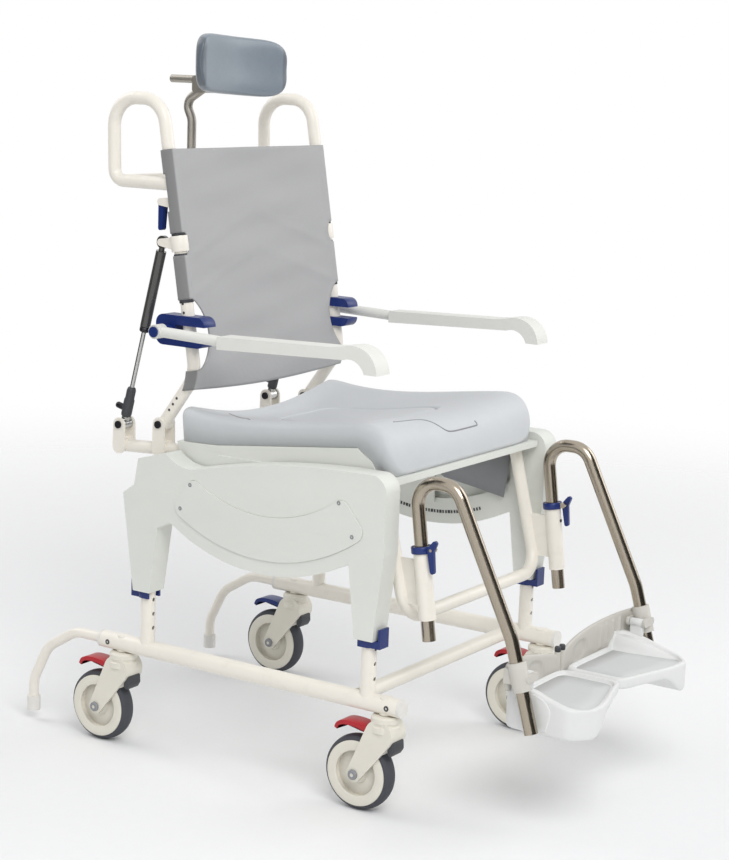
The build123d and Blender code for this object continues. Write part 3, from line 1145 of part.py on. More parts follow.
def footplate(side):
    """Moulded tread with a rim, a deep outer cheek and the hinge barrel above it."""
    pin = (side * PLATE_PIN_X, PLATE_PIN_Z)
    barrel = BARREL_HALF - CLEAR
    with BuildPart() as plate:
        with BuildSketch(Plane.XY.offset(PLATE_BOTTOM)) as tread:
            plate_plan(side, 0)
            fillet(tread.vertices(), PLATE_CORNER)
        extrude(tread.sketch, amount=PLATE_TOP - PLATE_BOTTOM)
        with BuildSketch(Plane.XY.offset(PLATE_TREAD_Z)) as dish:
            plate_plan(side, DISH_INSET)
            fillet(dish.vertices(), DISH_CORNER)
        extrude(dish.sketch, amount=2 * PLATE_RIM, mode=Mode.SUBTRACT)
        with BuildSketch(Plane.XZ.offset(-PLATE_REAR)) as wedge:
            Polygon((side * PLATE_INNER_X, PLATE_BOTTOM),
                    (side * (PLATE_OUTER_X - WEDGE_START), PLATE_BOTTOM),
                    (side * PLATE_INNER_X, PLATE_TREAD_Z - PLATE_DEPTH_INNER), align=None)
        extrude(wedge.sketch, amount=PLATE_REAR - PLATE_FRONT_OUTER, mode=Mode.SUBTRACT)
        with BuildSketch(yz(side * (PLATE_OUTER_X - PLATE_CHEEK))) as cheek:
            with BuildLine():
                rear = (PLATE_REAR - PLATE_CORNER, CHEEK_LOW)
                front = (PLATE_FRONT_OUTER + PLATE_CORNER, CHEEK_LOW)
                Line(front, rear)
                ThreePointArc(rear, (CHEEK_CREST_Y, CHEEK_TOP), front)
            make_face()
        extrude(cheek.sketch, amount=side * PLATE_CHEEK)
        along_y(pin, PLATE_PIN_Y - barrel, PLATE_PIN_Y + barrel, 2 * PLATE_EAR_RADIUS)
        with BuildSketch(Plane.XZ.offset(-PLATE_PIN_Y - barrel)) as arm:
            low = CHEEK_TOP - CHEEK_LAP
            with Locations((side * (PLATE_OUTER_X - PLATE_CHEEK / 2), (low + PLATE_PIN_Z) / 2)):
                Rectangle(PLATE_CHEEK, PLATE_PIN_Z - low)
        extrude(arm.sketch, amount=2 * barrel)
        along_y(pin, PLATE_PIN_Y - barrel, PLATE_PIN_Y + barrel, PLATE_PIN_DIAMETER + 2 * RUNNING,
                mode=Mode.SUBTRACT)
    return plate.part


HEEL_OUTER_X = SLEEVE_X + 4
HEEL_INNER_X = 8.0
HEEL_END_Y = PLATE_REAR + 10
HEEL_HEIGHT = 46.0
HEEL_OUTER_TOP = PLATE_PIN_Z + 24
HEEL_INNER_TOP = PLATE_PIN_Z - 12
HEEL_POST_DIAMETER = 10.0
HEEL_POST_TOP = HEEL_INNER_TOP + 6
HEEL_CUT_REAR = HEEL_REAR + 40
HEEL_CUT_DEPTH = 200.0


def heel_band(side):
    """Heel loop that dips from the collar to a short post beside the other footplate."""
    outer = (side * HEEL_OUTER_X, HEEL_START_Y + CLEAR)
    inner = (side * HEEL_INNER_X, HEEL_END_Y)
    middle = (side * (HEEL_OUTER_X + HEEL_INNER_X) / 2, HEEL_REAR)
    low = HEEL_INNER_TOP - HEEL_HEIGHT
    with BuildPart() as band:
        with BuildSketch(Plane.XY.offset(low)) as strip:
            with BuildLine():
                near = ThreePointArc(outer, middle, inner)
                far = ThreePointArc(*[(x, y + HEEL_THICKNESS) for x, y in (outer, middle, inner)])
                Line(near @ 0, far @ 0)
                Line(near @ 1, far @ 1)
            make_face()
        extrude(strip.sketch, amount=HEEL_OUTER_TOP - low)
        with BuildSketch(Plane.XZ.offset(-HEEL_CUT_REAR)) as slope:
            Polygon((outer[0], HEEL_OUTER_TOP), (inner[0], HEEL_INNER_TOP), (inner[0], low),
                    (outer[0], HEEL_OUTER_TOP - HEEL_HEIGHT), align=None)
        extrude(slope.sketch, amount=HEEL_CUT_DEPTH, mode=Mode.INTERSECT)
        post_y = HEEL_END_Y + HEEL_THICKNESS
        bar((inner[0], post_y, low), (inner[0], post_y, HEEL_POST_TOP), HEEL_POST_DIAMETER)
    return band.part


for name, side in SIDES.items():
    save(legrest(side), f"legrest_{name}")
    save(leg_catch(side), f"leg_catch_{name}")
    save(footplate_mount(side), f"footplate_mount_{name}")
    save(footplate(side), f"footplate_{name}")
    save(heel_band(side), f"heel_band_{name}")
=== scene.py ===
"""Looks of a wheeled shower chair: finishes, soft pieces, small fittings, floor, light and camera."""
import logging
from dataclasses import dataclass
from enum import Enum
from math import cos, radians, sin, tan
from typing import Any, Iterable, Optional, Sequence

import bmesh
import bpy
import numpy as np
from mathutils import Matrix, Vector


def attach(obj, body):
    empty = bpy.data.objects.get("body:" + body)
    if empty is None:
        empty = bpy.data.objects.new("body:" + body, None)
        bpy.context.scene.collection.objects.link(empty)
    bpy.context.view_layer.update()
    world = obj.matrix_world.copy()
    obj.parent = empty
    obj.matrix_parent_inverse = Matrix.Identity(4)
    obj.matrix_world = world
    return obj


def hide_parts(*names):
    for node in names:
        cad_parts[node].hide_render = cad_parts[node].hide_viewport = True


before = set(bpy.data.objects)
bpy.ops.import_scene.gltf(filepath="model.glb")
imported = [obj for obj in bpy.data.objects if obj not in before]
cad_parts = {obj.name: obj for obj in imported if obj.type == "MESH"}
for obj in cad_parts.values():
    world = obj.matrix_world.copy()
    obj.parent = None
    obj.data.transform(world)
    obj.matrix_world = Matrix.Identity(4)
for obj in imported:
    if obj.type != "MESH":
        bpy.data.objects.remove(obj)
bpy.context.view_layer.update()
LOG = logging.getLogger("shower_chair")
MM = 0.001
SIDES = {"right": -1, "left": 1}
WHEEL_FACES = {"out": -1, "in": 1}
CORNERS = [f"{end}_{side}" for end in ("front", "rear") for side in SIDES]

Piece = bpy.types.Object
Pair = tuple[float, float]
Pairs = tuple[Pair, ...]
Triple = tuple[float, float, float]
Colour = tuple[int, int, int]
Linear = tuple[float, float, float, float]


class Hold(Enum):
    STRETCHED = "stretched"


class Grain(Enum):
    """Surface grain of a moulded plastic, in grains a metre."""

    FINE = 900.0
    COARSE = 420.0


# Meshes

def make_piece(name: str, points: np.ndarray, faces: np.ndarray, smooth: bool = True) -> Piece:
    """Put vertices and faces into a new mesh object at the origin.

    Args:
        name: Name of the piece.
        points: Vertices in millimetres, shape (n, 3).
        faces: Vertex numbers, shape (m, 4) or (m, 3).
        smooth: Whether the faces are shaded smooth.

    Returns:
        The new object, linked to the scene.
    """
    mesh = bpy.data.meshes.new(name)
    mesh.from_pydata((points * MM).tolist(), [], faces.tolist())
    mesh.validate()
    mesh.polygons.foreach_set("use_smooth", np.full(len(mesh.polygons), smooth))
    piece = bpy.data.objects.new(name, mesh)
    bpy.context.scene.collection.objects.link(piece)
    return piece


def grid_faces(rows: int, columns: int, wrap_rows: bool = False, wrap_columns: bool = False) -> np.ndarray:
    """Quads between neighbouring points of a grid, as vertex numbers.

    Args:
        rows: Points along the first parameter.
        columns: Points along the second parameter.
        wrap_rows: Whether the last row joins the first.
        wrap_columns: Whether the last column joins the first.

    Returns:
        Array of shape (quads, 4).
    """
    first = np.arange(rows if wrap_rows else rows - 1)
    second = np.arange(columns if wrap_columns else columns - 1)
    row, column = np.meshgrid(first, second, indexing="ij")
    next_row, next_column = (row + 1) % rows, (column + 1) % columns
    corners = (row * columns + column, row * columns + next_column,
               next_row * columns + next_column, next_row * columns + column)
    return np.stack([corner.ravel() for corner in corners], axis=1)


def tidy_mesh(piece: Piece, merge: float = 1e-6) -> Piece:
    """Merge doubled points, which closes seams and poles, and turn all faces outwards.

    Args:
        piece: The object to tidy.
        merge: Distance in metres within which points are one.

    Returns:
        The same object.
    """
    work = bmesh.new()
    work.from_mesh(piece.data)
    bmesh.ops.remove_doubles(work, verts=work.verts, dist=merge)
    bmesh.ops.dissolve_degenerate(work, edges=work.edges, dist=merge)
    bmesh.ops.recalc_face_normals(work, faces=work.faces)
    work.to_mesh(piece.data)
    work.free()
    return piece


def surface(name: str, grid: np.ndarray, wrap_rows: bool = False, wrap_columns: bool = False,
            keep: Optional[np.ndarray] = None, flat: Optional[np.ndarray] = None) -> Piece:
    """Mesh of a parameter grid.

    Args:
        name: Name of the piece.
        grid: Points in millimetres, shape (rows, columns, 3).
        wrap_rows: Whether the last row joins the first.
        wrap_columns: Whether the last column joins the first.
        keep: True for each quad that stays, or None for all.
        flat: Place of each point on the uncut sheet in millimetres, shape (rows, columns, 2), or None.

    Returns:
        The new object, with its seams merged and, where flat is given, a UV map "flat" in metres.
    """
    rows, columns = grid.shape[:2]
    faces = grid_faces(rows, columns, wrap_rows, wrap_columns)
    if keep is not None:
        faces = faces[keep.ravel()]
    piece = make_piece(name, grid.reshape(-1, 3), faces)
    if flat is not None:
        layer = piece.data.uv_layers.new(name="flat")
        layer.data.foreach_set("uv", (flat.reshape(-1, 2)[faces] * MM).ravel())
    return tidy_mesh(piece)


def full_turn(steps: int) -> np.ndarray:
    """Equal steps of angle once round, without the last, which is the first again."""
    return np.linspace(0.0, 2.0 * np.pi, steps, endpoint=False)


def quarter_turn(steps: int) -> np.ndarray:
    """Equal steps of angle over a quarter turn, with both ends."""
    return np.linspace(0.0, np.pi / 2, steps)


def smooth_step(value: np.ndarray, low: float, high: float) -> np.ndarray:
    """Rise from 0 at low to 1 at high with level ends: 3t squared less 2t cubed."""
    share = np.clip((value - low) / (high - low), 0.0, 1.0)
    return share * share * (3.0 - 2.0 * share)


def squircle(angle: np.ndarray, half_x: float, half_y: float, power: float) -> np.ndarray:
    """Radius of a rounded rectangle at an angle: the p-norm ellipse through its four mid-sides."""
    norm = np.abs(np.cos(angle) / half_x) ** power + np.abs(np.sin(angle) / half_y) ** power
    return norm ** (-1.0 / power)


def superellipse(turn: np.ndarray, power: float) -> tuple[np.ndarray, np.ndarray]:
    """Both coordinates of a rounded square: cosine and sine, each to 2 over the power with its sign kept."""
    level, upright = (np.sign(part) * np.abs(part) ** (2.0 / power) for part in (np.cos(turn), np.sin(turn)))
    return level, upright


def plane_normals(path: np.ndarray) -> np.ndarray:
    """Unit normals of a flat path, shape (n, 2): its tangents turned left by a quarter."""
    ahead = np.gradient(path, axis=0)
    return np.column_stack([-ahead[:, 1], ahead[:, 0]]) / np.linalg.norm(ahead, axis=1, keepdims=True)


def turned(name: str, profile: Sequence[Pair], centre: Sequence[float], axis: Sequence[float],
           sides: int = 32) -> Piece:
    """Solid of revolution: a (radius, height) profile carried round an axis.

    Args:
        name: Name of the piece.
        profile: Radius and height pairs; it starts and ends on the axis, or where it started.
        centre: Point on the axis where the height is 0.
        axis: Direction of the height.
        sides: Steps round the axis.

    Returns:
        The new object.
    """
    ahead = np.array(axis, float) / np.linalg.norm(axis)
    across = np.cross(ahead, (0.0, 0.0, 1.0) if abs(ahead[2]) < 0.9 else (1.0, 0.0, 0.0))
    across /= np.linalg.norm(across)
    third = np.cross(ahead, across)
    turn = full_turn(sides)
    ring = np.cos(turn)[:, None] * across + np.sin(turn)[:, None] * third
    radius, height = np.array(profile, float).T
    grid = np.array(centre, float) + radius[None, :, None] * ring[:, None, :] + height[None, :, None] * ahead
    return surface(name, grid, wrap_rows=True)


def rod_profile(radius: float, low: float, high: float, edge: float) -> list[Pair]:
    """Profile of a round rod between two heights, with both ends cut back by an edge."""
    return [(0.0, low), (radius - edge, low), (radius, low + edge),
            (radius, high - edge), (radius - edge, high), (0.0, high)]


def pipe(name: str, path: np.ndarray, radius: float, sides: int, reference: Sequence[float]) -> Piece:
    """Round rod: a circle carried along a path, closed by two flat ends.

    Args:
        name: Name of the piece.
        path: Points in millimetres, shape (n, 3).
        radius: Rod radius in millimetres.
        sides: Steps round the rod.
        reference: Direction that the path never follows.

    Returns:
        The new object.
    """
    ahead = np.gradient(path, axis=0)
    ahead /= np.linalg.norm(ahead, axis=1, keepdims=True)
    across = np.cross(ahead, reference)
    across /= np.linalg.norm(across, axis=1, keepdims=True)
    third = np.cross(ahead, across)
    turn = full_turn(sides)
    ring = np.cos(turn)[None, :, None] * across[:, None] + np.sin(turn)[None, :, None] * third[:, None]
    wall = path[:, None] + radius * ring
    ends = np.repeat(path[[0, -1]][:, None], sides, axis=1)
    return surface(name, np.concatenate([ends[:1], wall, ends[1:]]), wrap_columns=True)


def curve_through(points: np.ndarray, steps: int) -> np.ndarray:
    """Smooth path through a few points: Catmull-Rom cubic between each pair of neighbours.

    Args:
        points: The points to pass through, shape (n, 2) or (n, 3).
        steps: Steps between two neighbours.

    Returns:
        Points of the path, with as many coordinates.
    """
    knots = np.concatenate([2 * points[:1] - points[1:2], points, 2 * points[-1:] - points[-2:-1]])
    share = np.linspace(0.0, 1.0, steps, endpoint=False)[None, :, None]
    before, start, stop, after = (knots[i:len(knots) - 3 + i, None] for i in range(4))
    cubic = 0.5 * (2 * start + (stop - before) * share
                   + (2 * before - 5 * start + 4 * stop - after) * share ** 2
                   + (3 * start - before - 3 * stop + after) * share ** 3)
    return np.concatenate([cubic.reshape(-1, points.shape[1]), points[-1:]])


def prism(name: str, outline: np.ndarray, low: float, high: float) -> Piece:
    """Solid of a closed (Y, Z) outline carried along X, with flat ends that fan out from its middle.

    Args:
        name: Name of the piece.
        outline: Corners in order, shape (n, 2), in millimetres.
        low: X of one end.
        high: X of the other end.

    Returns:
        The new object.
    """
    count = len(outline)
    middle = np.broadcast_to(outline.mean(axis=0), (count, 2))
    stations = zip((low, low, high, high), (middle, outline, outline, middle))
    grid = np.stack([np.column_stack([np.full(count, x), loop]) for x, loop in stations])
    return surface(name, grid, wrap_columns=True)


def side_prism(name: str, outline: np.ndarray, side: int, walls: Pair) -> Piece:
    """A prism on one side of the chair, between two distances from the chair's middle plane."""
    low, high = sorted(side * wall for wall in walls)
    return prism(name, outline, low, high)


def disc(name: str, x: np.ndarray, y: np.ndarray, high: np.ndarray, low: np.ndarray) -> Piece:
    """Thick disc: rings run out over its upper side, down its edge and back along its underside.

    Args:
        name: Name of the piece.
        x: X of each point, shape (steps round, rings), with the first ring at the middle.
        y: Y of each point.
        high: Height of the upper side at each point.
        low: Height of the underside at each point.

    Returns:
        The new object.
    """
    over = np.stack([x, y, high], axis=2)
    under = np.stack([x, y, low], axis=2)[:, ::-1]
    return surface(name, np.concatenate([over, under], axis=1), wrap_rows=True)


def add_bevel(piece: Piece, width: float, segments: int = 3) -> Piece:
    """Round a piece's sharp edges by a width in millimetres.

    Args:
        piece: The object to round.
        width: Width of the rounding.
        segments: Steps over the rounding.

    Returns:
        The same object.
    """
    bevel = piece.modifiers.new("Edge", "BEVEL")
    bevel.width, bevel.segments, bevel.limit_method = width * MM, segments, "ANGLE"
    return piece


def thicken(piece: Piece, thickness: float) -> Piece:
    """Give a sheet its thickness in millimetres, half to each side.

    Args:
        piece: The sheet.
        thickness: Distance between its two faces.

    Returns:
        The same object.
    """
    solid = piece.modifiers.new("Cloth", "SOLIDIFY")
    solid.thickness, solid.offset = thickness * MM, 0.0
    return piece


# Shader maths

class Sock:
    """A shader socket with arithmetic; each operator adds one Math node."""

    def __init__(self, nodes: "Nodes", socket: bpy.types.NodeSocket) -> None:
        """Keep the node tree's wrapper and the socket."""
        self.nodes = nodes
        self.socket = socket

    def _maths(self, operation: str, first: Any, second: Any = 0.0) -> "Sock":
        """One Math node of two values."""
        return self.nodes.node("ShaderNodeMath", {"operation": operation}, {0: first, 1: second})

    def __add__(self, other: Any) -> "Sock":
        """Sum."""
        return self._maths("ADD", self, other)

    __radd__ = __add__

    def __sub__(self, other: Any) -> "Sock":
        """Difference."""
        return self._maths("SUBTRACT", self, other)

    def __rsub__(self, other: Any) -> "Sock":
        """Difference from a number."""
        return self._maths("SUBTRACT", other, self)

    def __mul__(self, other: Any) -> "Sock":
        """Product."""
        return self._maths("MULTIPLY", self, other)

    __rmul__ = __mul__

    def sine(self) -> "Sock":
        """Sine of the value."""
        return self._maths("SINE", self)

    def size(self) -> "Sock":
        """Absolute value."""
        return self._maths("ABSOLUTE", self)

    def above(self, edge: float, soft: float) -> "Sock":
        """0 below edge and 1 above it, over a soft width."""
        limits = {"Value": self, "From Min": edge - soft / 2, "From Max": edge + soft / 2}
        return self.nodes.node("ShaderNodeMapRange", {"interpolation_type": "SMOOTHSTEP"}, limits)

    def beside(self, output: Any) -> "Sock":
        """Another output of the same node, by name or number."""
        return Sock(self.nodes, self.socket.node.outputs[output])


class Nodes:
    """A node tree with one way to add nodes."""

    def __init__(self, tree: bpy.types.NodeTree) -> None:
        """Keep the tree."""
        self.tree = tree

    def node(self, kind: str, settings: Optional[dict[str, Any]] = None,
             inputs: Optional[dict[Any, Any]] = None, output: Any = 0) -> Sock:
        """Add a node, set it up and link it.

        Args:
            kind: The node's type.
            settings: Properties that are set first, such as a Math node's operation.
            inputs: Values or sockets by input name or number.
            output: The output wanted, by name or number.

        Returns:
            The wrapped output socket.
        """
        node = self.tree.nodes.new(kind)
        for key, value in (settings or {}).items():
            setattr(node, key, value)
        for key, value in (inputs or {}).items():
            self.feed(node.inputs[key], value)
        return Sock(self, node.outputs[output])

    def feed(self, socket: bpy.types.NodeSocket, value: Any) -> None:
        """Link a wrapped socket to an input, or set the input's value.

        Args:
            socket: The input.
            value: A wrapped socket, or a plain value.
        """
        if isinstance(value, Sock):
            self.tree.links.new(value.socket, socket)
        else:
            socket.default_value = value


class Shader(Nodes):
    """A material's node tree around its Principled shader."""

    # Numbers of a Mix node's inputs for the factor and both colours, and of its colour output.
    MIX_INPUTS = (0, 6, 7)
    MIX_RESULT = 2

    def __init__(self, name: str) -> None:
        """Start a material that has only its Principled shader and its output.

        Args:
            name: The material's name.
        """
        self.material = bpy.data.materials.new(name)
        self.material.use_nodes = True
        super().__init__(self.material.node_tree)
        self.principled = self.tree.nodes["Principled BSDF"]

    def set(self, **values: Any) -> None:
        """Feed the Principled shader's inputs; underscores stand for spaces."""
        for key, value in values.items():
            self.feed(self.principled.inputs[key.replace("_", " ")], value)

    def place(self, stretch: Triple = (1.0, 1.0, 1.0)) -> Sock:
        """Object coordinates, stretched."""
        place = self.node("ShaderNodeTexCoord", output="Object")
        return self.node("ShaderNodeMapping", inputs={"Vector": place, "Scale": stretch})

    def noise(self, scale: float, detail: float, stretch: Triple = (1.0, 1.0, 1.0),
              roughness: float = 0.6) -> Sock:
        """Noise from 0 to 1, scale in cells a metre."""
        inputs = {"Vector": self.place(stretch), "Scale": scale, "Detail": detail, "Roughness": roughness}
        return self.node("ShaderNodeTexNoise", inputs=inputs)

    def cells(self, scale: float) -> Sock:
        """Distance to the nearest cell, scale in cells a metre."""
        inputs = {"Vector": self.place(), "Scale": scale}
        return self.node("ShaderNodeTexVoronoi", inputs=inputs, output="Distance")

    def mix(self, share: Any, first: Any, second: Any) -> Sock:
        """Mix two colours by a share."""
        inputs = dict(zip(self.MIX_INPUTS, (share, first, second)))
        return self.node("ShaderNodeMix", {"data_type": "RGBA"}, inputs, self.MIX_RESULT)

    def bump(self, height: Sock, depth: float, strength: float) -> Sock:
        """Bumped normal from a height of 0 to 1 that is depth metres deep."""
        return self.node("ShaderNodeBump", inputs={"Height": height, "Distance": depth, "Strength": strength})


def linear(red: int, green: int, blue: int) -> Linear:
    """Scene-linear colour of an 8-bit sRGB colour: the standard curve's inverse.

    Args:
        red: Red part, 0 to 255.
        green: Green part.
        blue: Blue part.

    Returns:
        Red, green, blue and an alpha of 1, from 0 to 1.
    """
    share = np.array([red, green, blue]) / 255.0
    value = np.where(share <= 0.04045, share / 12.92, ((share + 0.055) / 1.055) ** 2.4)
    return (*value.tolist(), 1.0)


def shade(colour: Linear, factor: float) -> Linear:
    """The same colour, lighter or darker."""
    return tuple(min(part * factor, 1.0) for part in colour[:3]) + (1.0,)


# Finishes

@dataclass(frozen=True)
class Finish:
    """A finish with its name and its main colour in 8-bit sRGB. Scales are cells a metre, depths metres."""

    name: str
    colour: Colour

    def material(self) -> bpy.types.Material:
        """Build the material.

        Returns:
            The finished material.
        """
        shader = Shader(self.name)
        self.paint(shader, linear(*self.colour))
        return shader.material

    def paint(self, shader: Shader, base: Linear) -> None:
        """Lay the finish on a new shader; each kind of finish has its own way."""
        raise NotImplementedError


@dataclass(frozen=True)
class PowderCoat(Finish):
    """Satin powder coat on steel tube: faint orange peel, faint cloudiness and a little handling dirt."""

    roughness: float = 0.34
    cloud_scale: float = 9.0
    peel_scale: float = 520.0
    dirt_scale: float = 38.0
    peel_depth: float = 0.00012

    def paint(self, shader: Shader, base: Linear) -> None:
        """Lay the coat on: clouds, then dirt over them, and the peel as bump.

        Args:
            shader: The new material's nodes.
            base: The main colour.
        """
        cloud = shader.noise(self.cloud_scale, 4.0)
        peel = shader.noise(self.peel_scale, 2.0)
        dirt = shader.noise(self.dirt_scale, 5.0).above(0.62, 0.2)
        colour = shader.mix(cloud, shade(base, 0.95), base)
        shader.set(Base_Color=shader.mix(dirt * 0.35, colour, shade(base, 0.86)),
                   Roughness=self.roughness + peel * 0.08 + dirt * 0.12,
                   Coat_Weight=0.15, Coat_Roughness=0.25,
                   Normal=shader.bump(peel, self.peel_depth, 0.35))


@dataclass(frozen=True)
class MouldedPlastic(Finish):
    """Moulded plastic: spark-eroded grain, faint flow marks and a soft sheen."""

    roughness: float = 0.46
    grain: Grain = Grain.FINE
    flow: float = 0.05
    flow_scale: float = 5.0
    scuff_scale: float = 60.0
    grain_depth: float = 0.00015

    def paint(self, shader: Shader, base: Linear) -> None:
        """Lay the plastic on: flow marks, then scuffs over them, and the grain as bump.

        Args:
            shader: The new material's nodes.
            base: The main colour.
        """
        flow = shader.noise(self.flow_scale, 3.0, (1.0, 1.0, 2.4))
        grain = shader.noise(self.grain.value, 2.0)
        scuff = shader.noise(self.scuff_scale, 6.0, (1.0, 0.25, 1.0)).above(0.66, 0.16)
        colour = shader.mix(flow, shade(base, 1.0 - self.flow), shade(base, 1.0 + self.flow / 2))
        shader.set(Base_Color=shader.mix(scuff * 0.25, colour, shade(base, 0.88)),
                   Roughness=self.roughness + grain * 0.10 - scuff * 0.06,
                   Normal=shader.bump(grain, self.grain_depth, 0.4))


@dataclass(frozen=True)
class Rubber(Finish):
    """Matt rubber with floor dust in its pores."""

    roughness: float = 0.62
    pore_scale: float = 1100.0
    dust_scale: float = 55.0
    pore_depth: float = 0.0002

    def paint(self, shader: Shader, base: Linear) -> None:
        """Lay the rubber on: dust over the base, and the pores as bump.

        Args:
            shader: The new material's nodes.
            base: The main colour.
        """
        pores = shader.noise(self.pore_scale, 3.0)
        dust = shader.noise(self.dust_scale, 6.0)
        shader.set(Base_Color=shader.mix(dust * 0.5, base, shade(base, 1.7)),
                   Roughness=self.roughness + dust * 0.2,
                   Normal=shader.bump(pores, self.pore_depth, 0.5))


@dataclass(frozen=True)
class BrushedSteel(Finish):
    """Brushed steel tube: fine lines along it, and stains that dull it here and there."""

    roughness: float = 0.24
    line_scale: float = 420.0
    stain_scale: float = 16.0
    line_depth: float = 0.00006

    def paint(self, shader: Shader, base: Linear) -> None:
        """Lay the steel on: brushed lines in colour, gloss and bump.

        Args:
            shader: The new material's nodes.
            base: The main colour.
        """
        lines = shader.noise(self.line_scale, 4.0, (3.0, 1.0, 0.06))
        stain = shader.noise(self.stain_scale, 4.0)
        shader.set(Base_Color=shader.mix(lines, shade(base, 0.84), shade(base, 1.06)), Metallic=1.0,
                   Roughness=self.roughness + lines * 0.10 + stain * 0.06,
                   Normal=shader.bump(lines, self.line_depth, 0.4))


@dataclass(frozen=True)
class FoamSkin(Finish):
    """Integral-skin foam: leathery pebble grain, soft sheen, pale rub marks and, where set, painted shade on
    both ends.

    The painted shade on the ends begins at a distance in metres from the chair's middle plane.
    """

    pebble_scale: float = 620.0
    roughness: float = 0.5
    shaded_ends_from: Optional[float] = None
    cloud_scale: float = 7.0
    rub_scale: float = 24.0
    pebble_depth: float = 0.00025

    def paint(self, shader: Shader, base: Linear) -> None:
        """Lay the skin on: clouds, rub marks and painted shade on the ends in colour, and the pebbles as
        bump.

        Args:
            shader: The new material's nodes.
            base: The main colour.
        """
        pebble = shader.cells(self.pebble_scale)
        cloud = shader.noise(self.cloud_scale, 4.0)
        rub = shader.noise(self.rub_scale, 5.0).above(0.6, 0.3)
        colour = shader.mix(cloud, shade(base, 0.95), shade(base, 1.03))
        colour = shader.mix(rub * 0.3, colour, shade(base, 1.08))
        # Painted shade: past a distance from the middle plane, both ends are darkened, for the sides turned
        # from the light.
        if self.shaded_ends_from is not None:
            across = shader.node("ShaderNodeSeparateXYZ", inputs={0: shader.place()}, output="X")
            colour = shader.mix(across.size().above(self.shaded_ends_from, 0.006), colour, shade(base, 0.62))
        shader.set(Base_Color=colour, Roughness=self.roughness + pebble * 0.10 + rub * 0.05,
                   Sheen_Weight=0.12, Sheen_Roughness=0.5,
                   Normal=shader.bump(pebble, self.pebble_depth, 0.35))


@dataclass(frozen=True)
class WovenCloth(Finish):
    """Basket weave: crossed threads from two sine waves on the cloth's own UV map, in metres.

    Where a width and an edge are set, painted shade darkens the cloth within that edge of both sides, for the
    side bands turned from the light.
    """

    thread: float = 0.0016
    width: Optional[float] = None
    edge: float = 0.0
    cloud_scale: float = 11.0
    fibre_scale: float = 1500.0
    weave_depth: float = 0.0005

    def paint(self, shader: Shader, base: Linear) -> None:
        """Lay the weave on: threads that pass over and under, clouds and painted shade on both sides.

        Args:
            shader: The new material's nodes.
            base: The main colour.
        """
        flat = shader.node("ShaderNodeUVMap", {"uv_map": "flat"})
        across = shader.node("ShaderNodeSeparateXYZ", inputs={0: flat}, output="X")
        turn = np.pi / self.thread
        warp, weft = (across * turn).sine(), (across.beside("Y") * turn).sine()
        over = warp * weft * 0.5 + 0.5
        weave = warp.size() * over + weft.size() * (1.0 - over)
        cloud = shader.noise(self.cloud_scale, 5.0)
        fibre = shader.noise(self.fibre_scale, 3.0)
        colour = shader.mix(weave, shade(base, 0.62), shade(base, 1.12))
        colour = shader.mix(cloud * 0.35, colour, shade(base, 0.82))
        # Painted shade: the strips along both sides of the flat cloth are darkened.
        if self.width is not None:
            half = self.width / 2
            outer = (across - half).size().above(half - self.edge, 0.004)
            colour = shader.mix(outer, colour, shade(base, 0.5))
        shader.set(Base_Color=colour, Roughness=0.78 + fibre * 0.15, Sheen_Weight=0.2, Sheen_Roughness=0.45,
                   Normal=shader.bump(weave + fibre * 0.3, self.weave_depth, 0.6))


@dataclass(frozen=True)
class GlossBlack(Finish):
    """Gloss black lacquer on a gas spring, with fine wipe marks."""

    roughness: float = 0.16
    wipe_scale: float = 220.0
    haze_scale: float = 14.0
    wipe_depth: float = 0.00004

    def paint(self, shader: Shader, base: Linear) -> None:
        """Lay the lacquer on: haze in colour, and wipe marks in gloss and bump.

        Args:
            shader: The new material's nodes.
            base: The main colour.
        """
        wipe = shader.noise(self.wipe_scale, 4.0, (1.0, 1.0, 0.08))
        haze = shader.noise(self.haze_scale, 3.0)
        shader.set(Base_Color=shader.mix(haze, base, shade(base, 1.6)),
                   Roughness=self.roughness + wipe * 0.14, Coat_Weight=0.6, Coat_Roughness=0.08,
                   Normal=shader.bump(wipe, self.wipe_depth, 0.3))


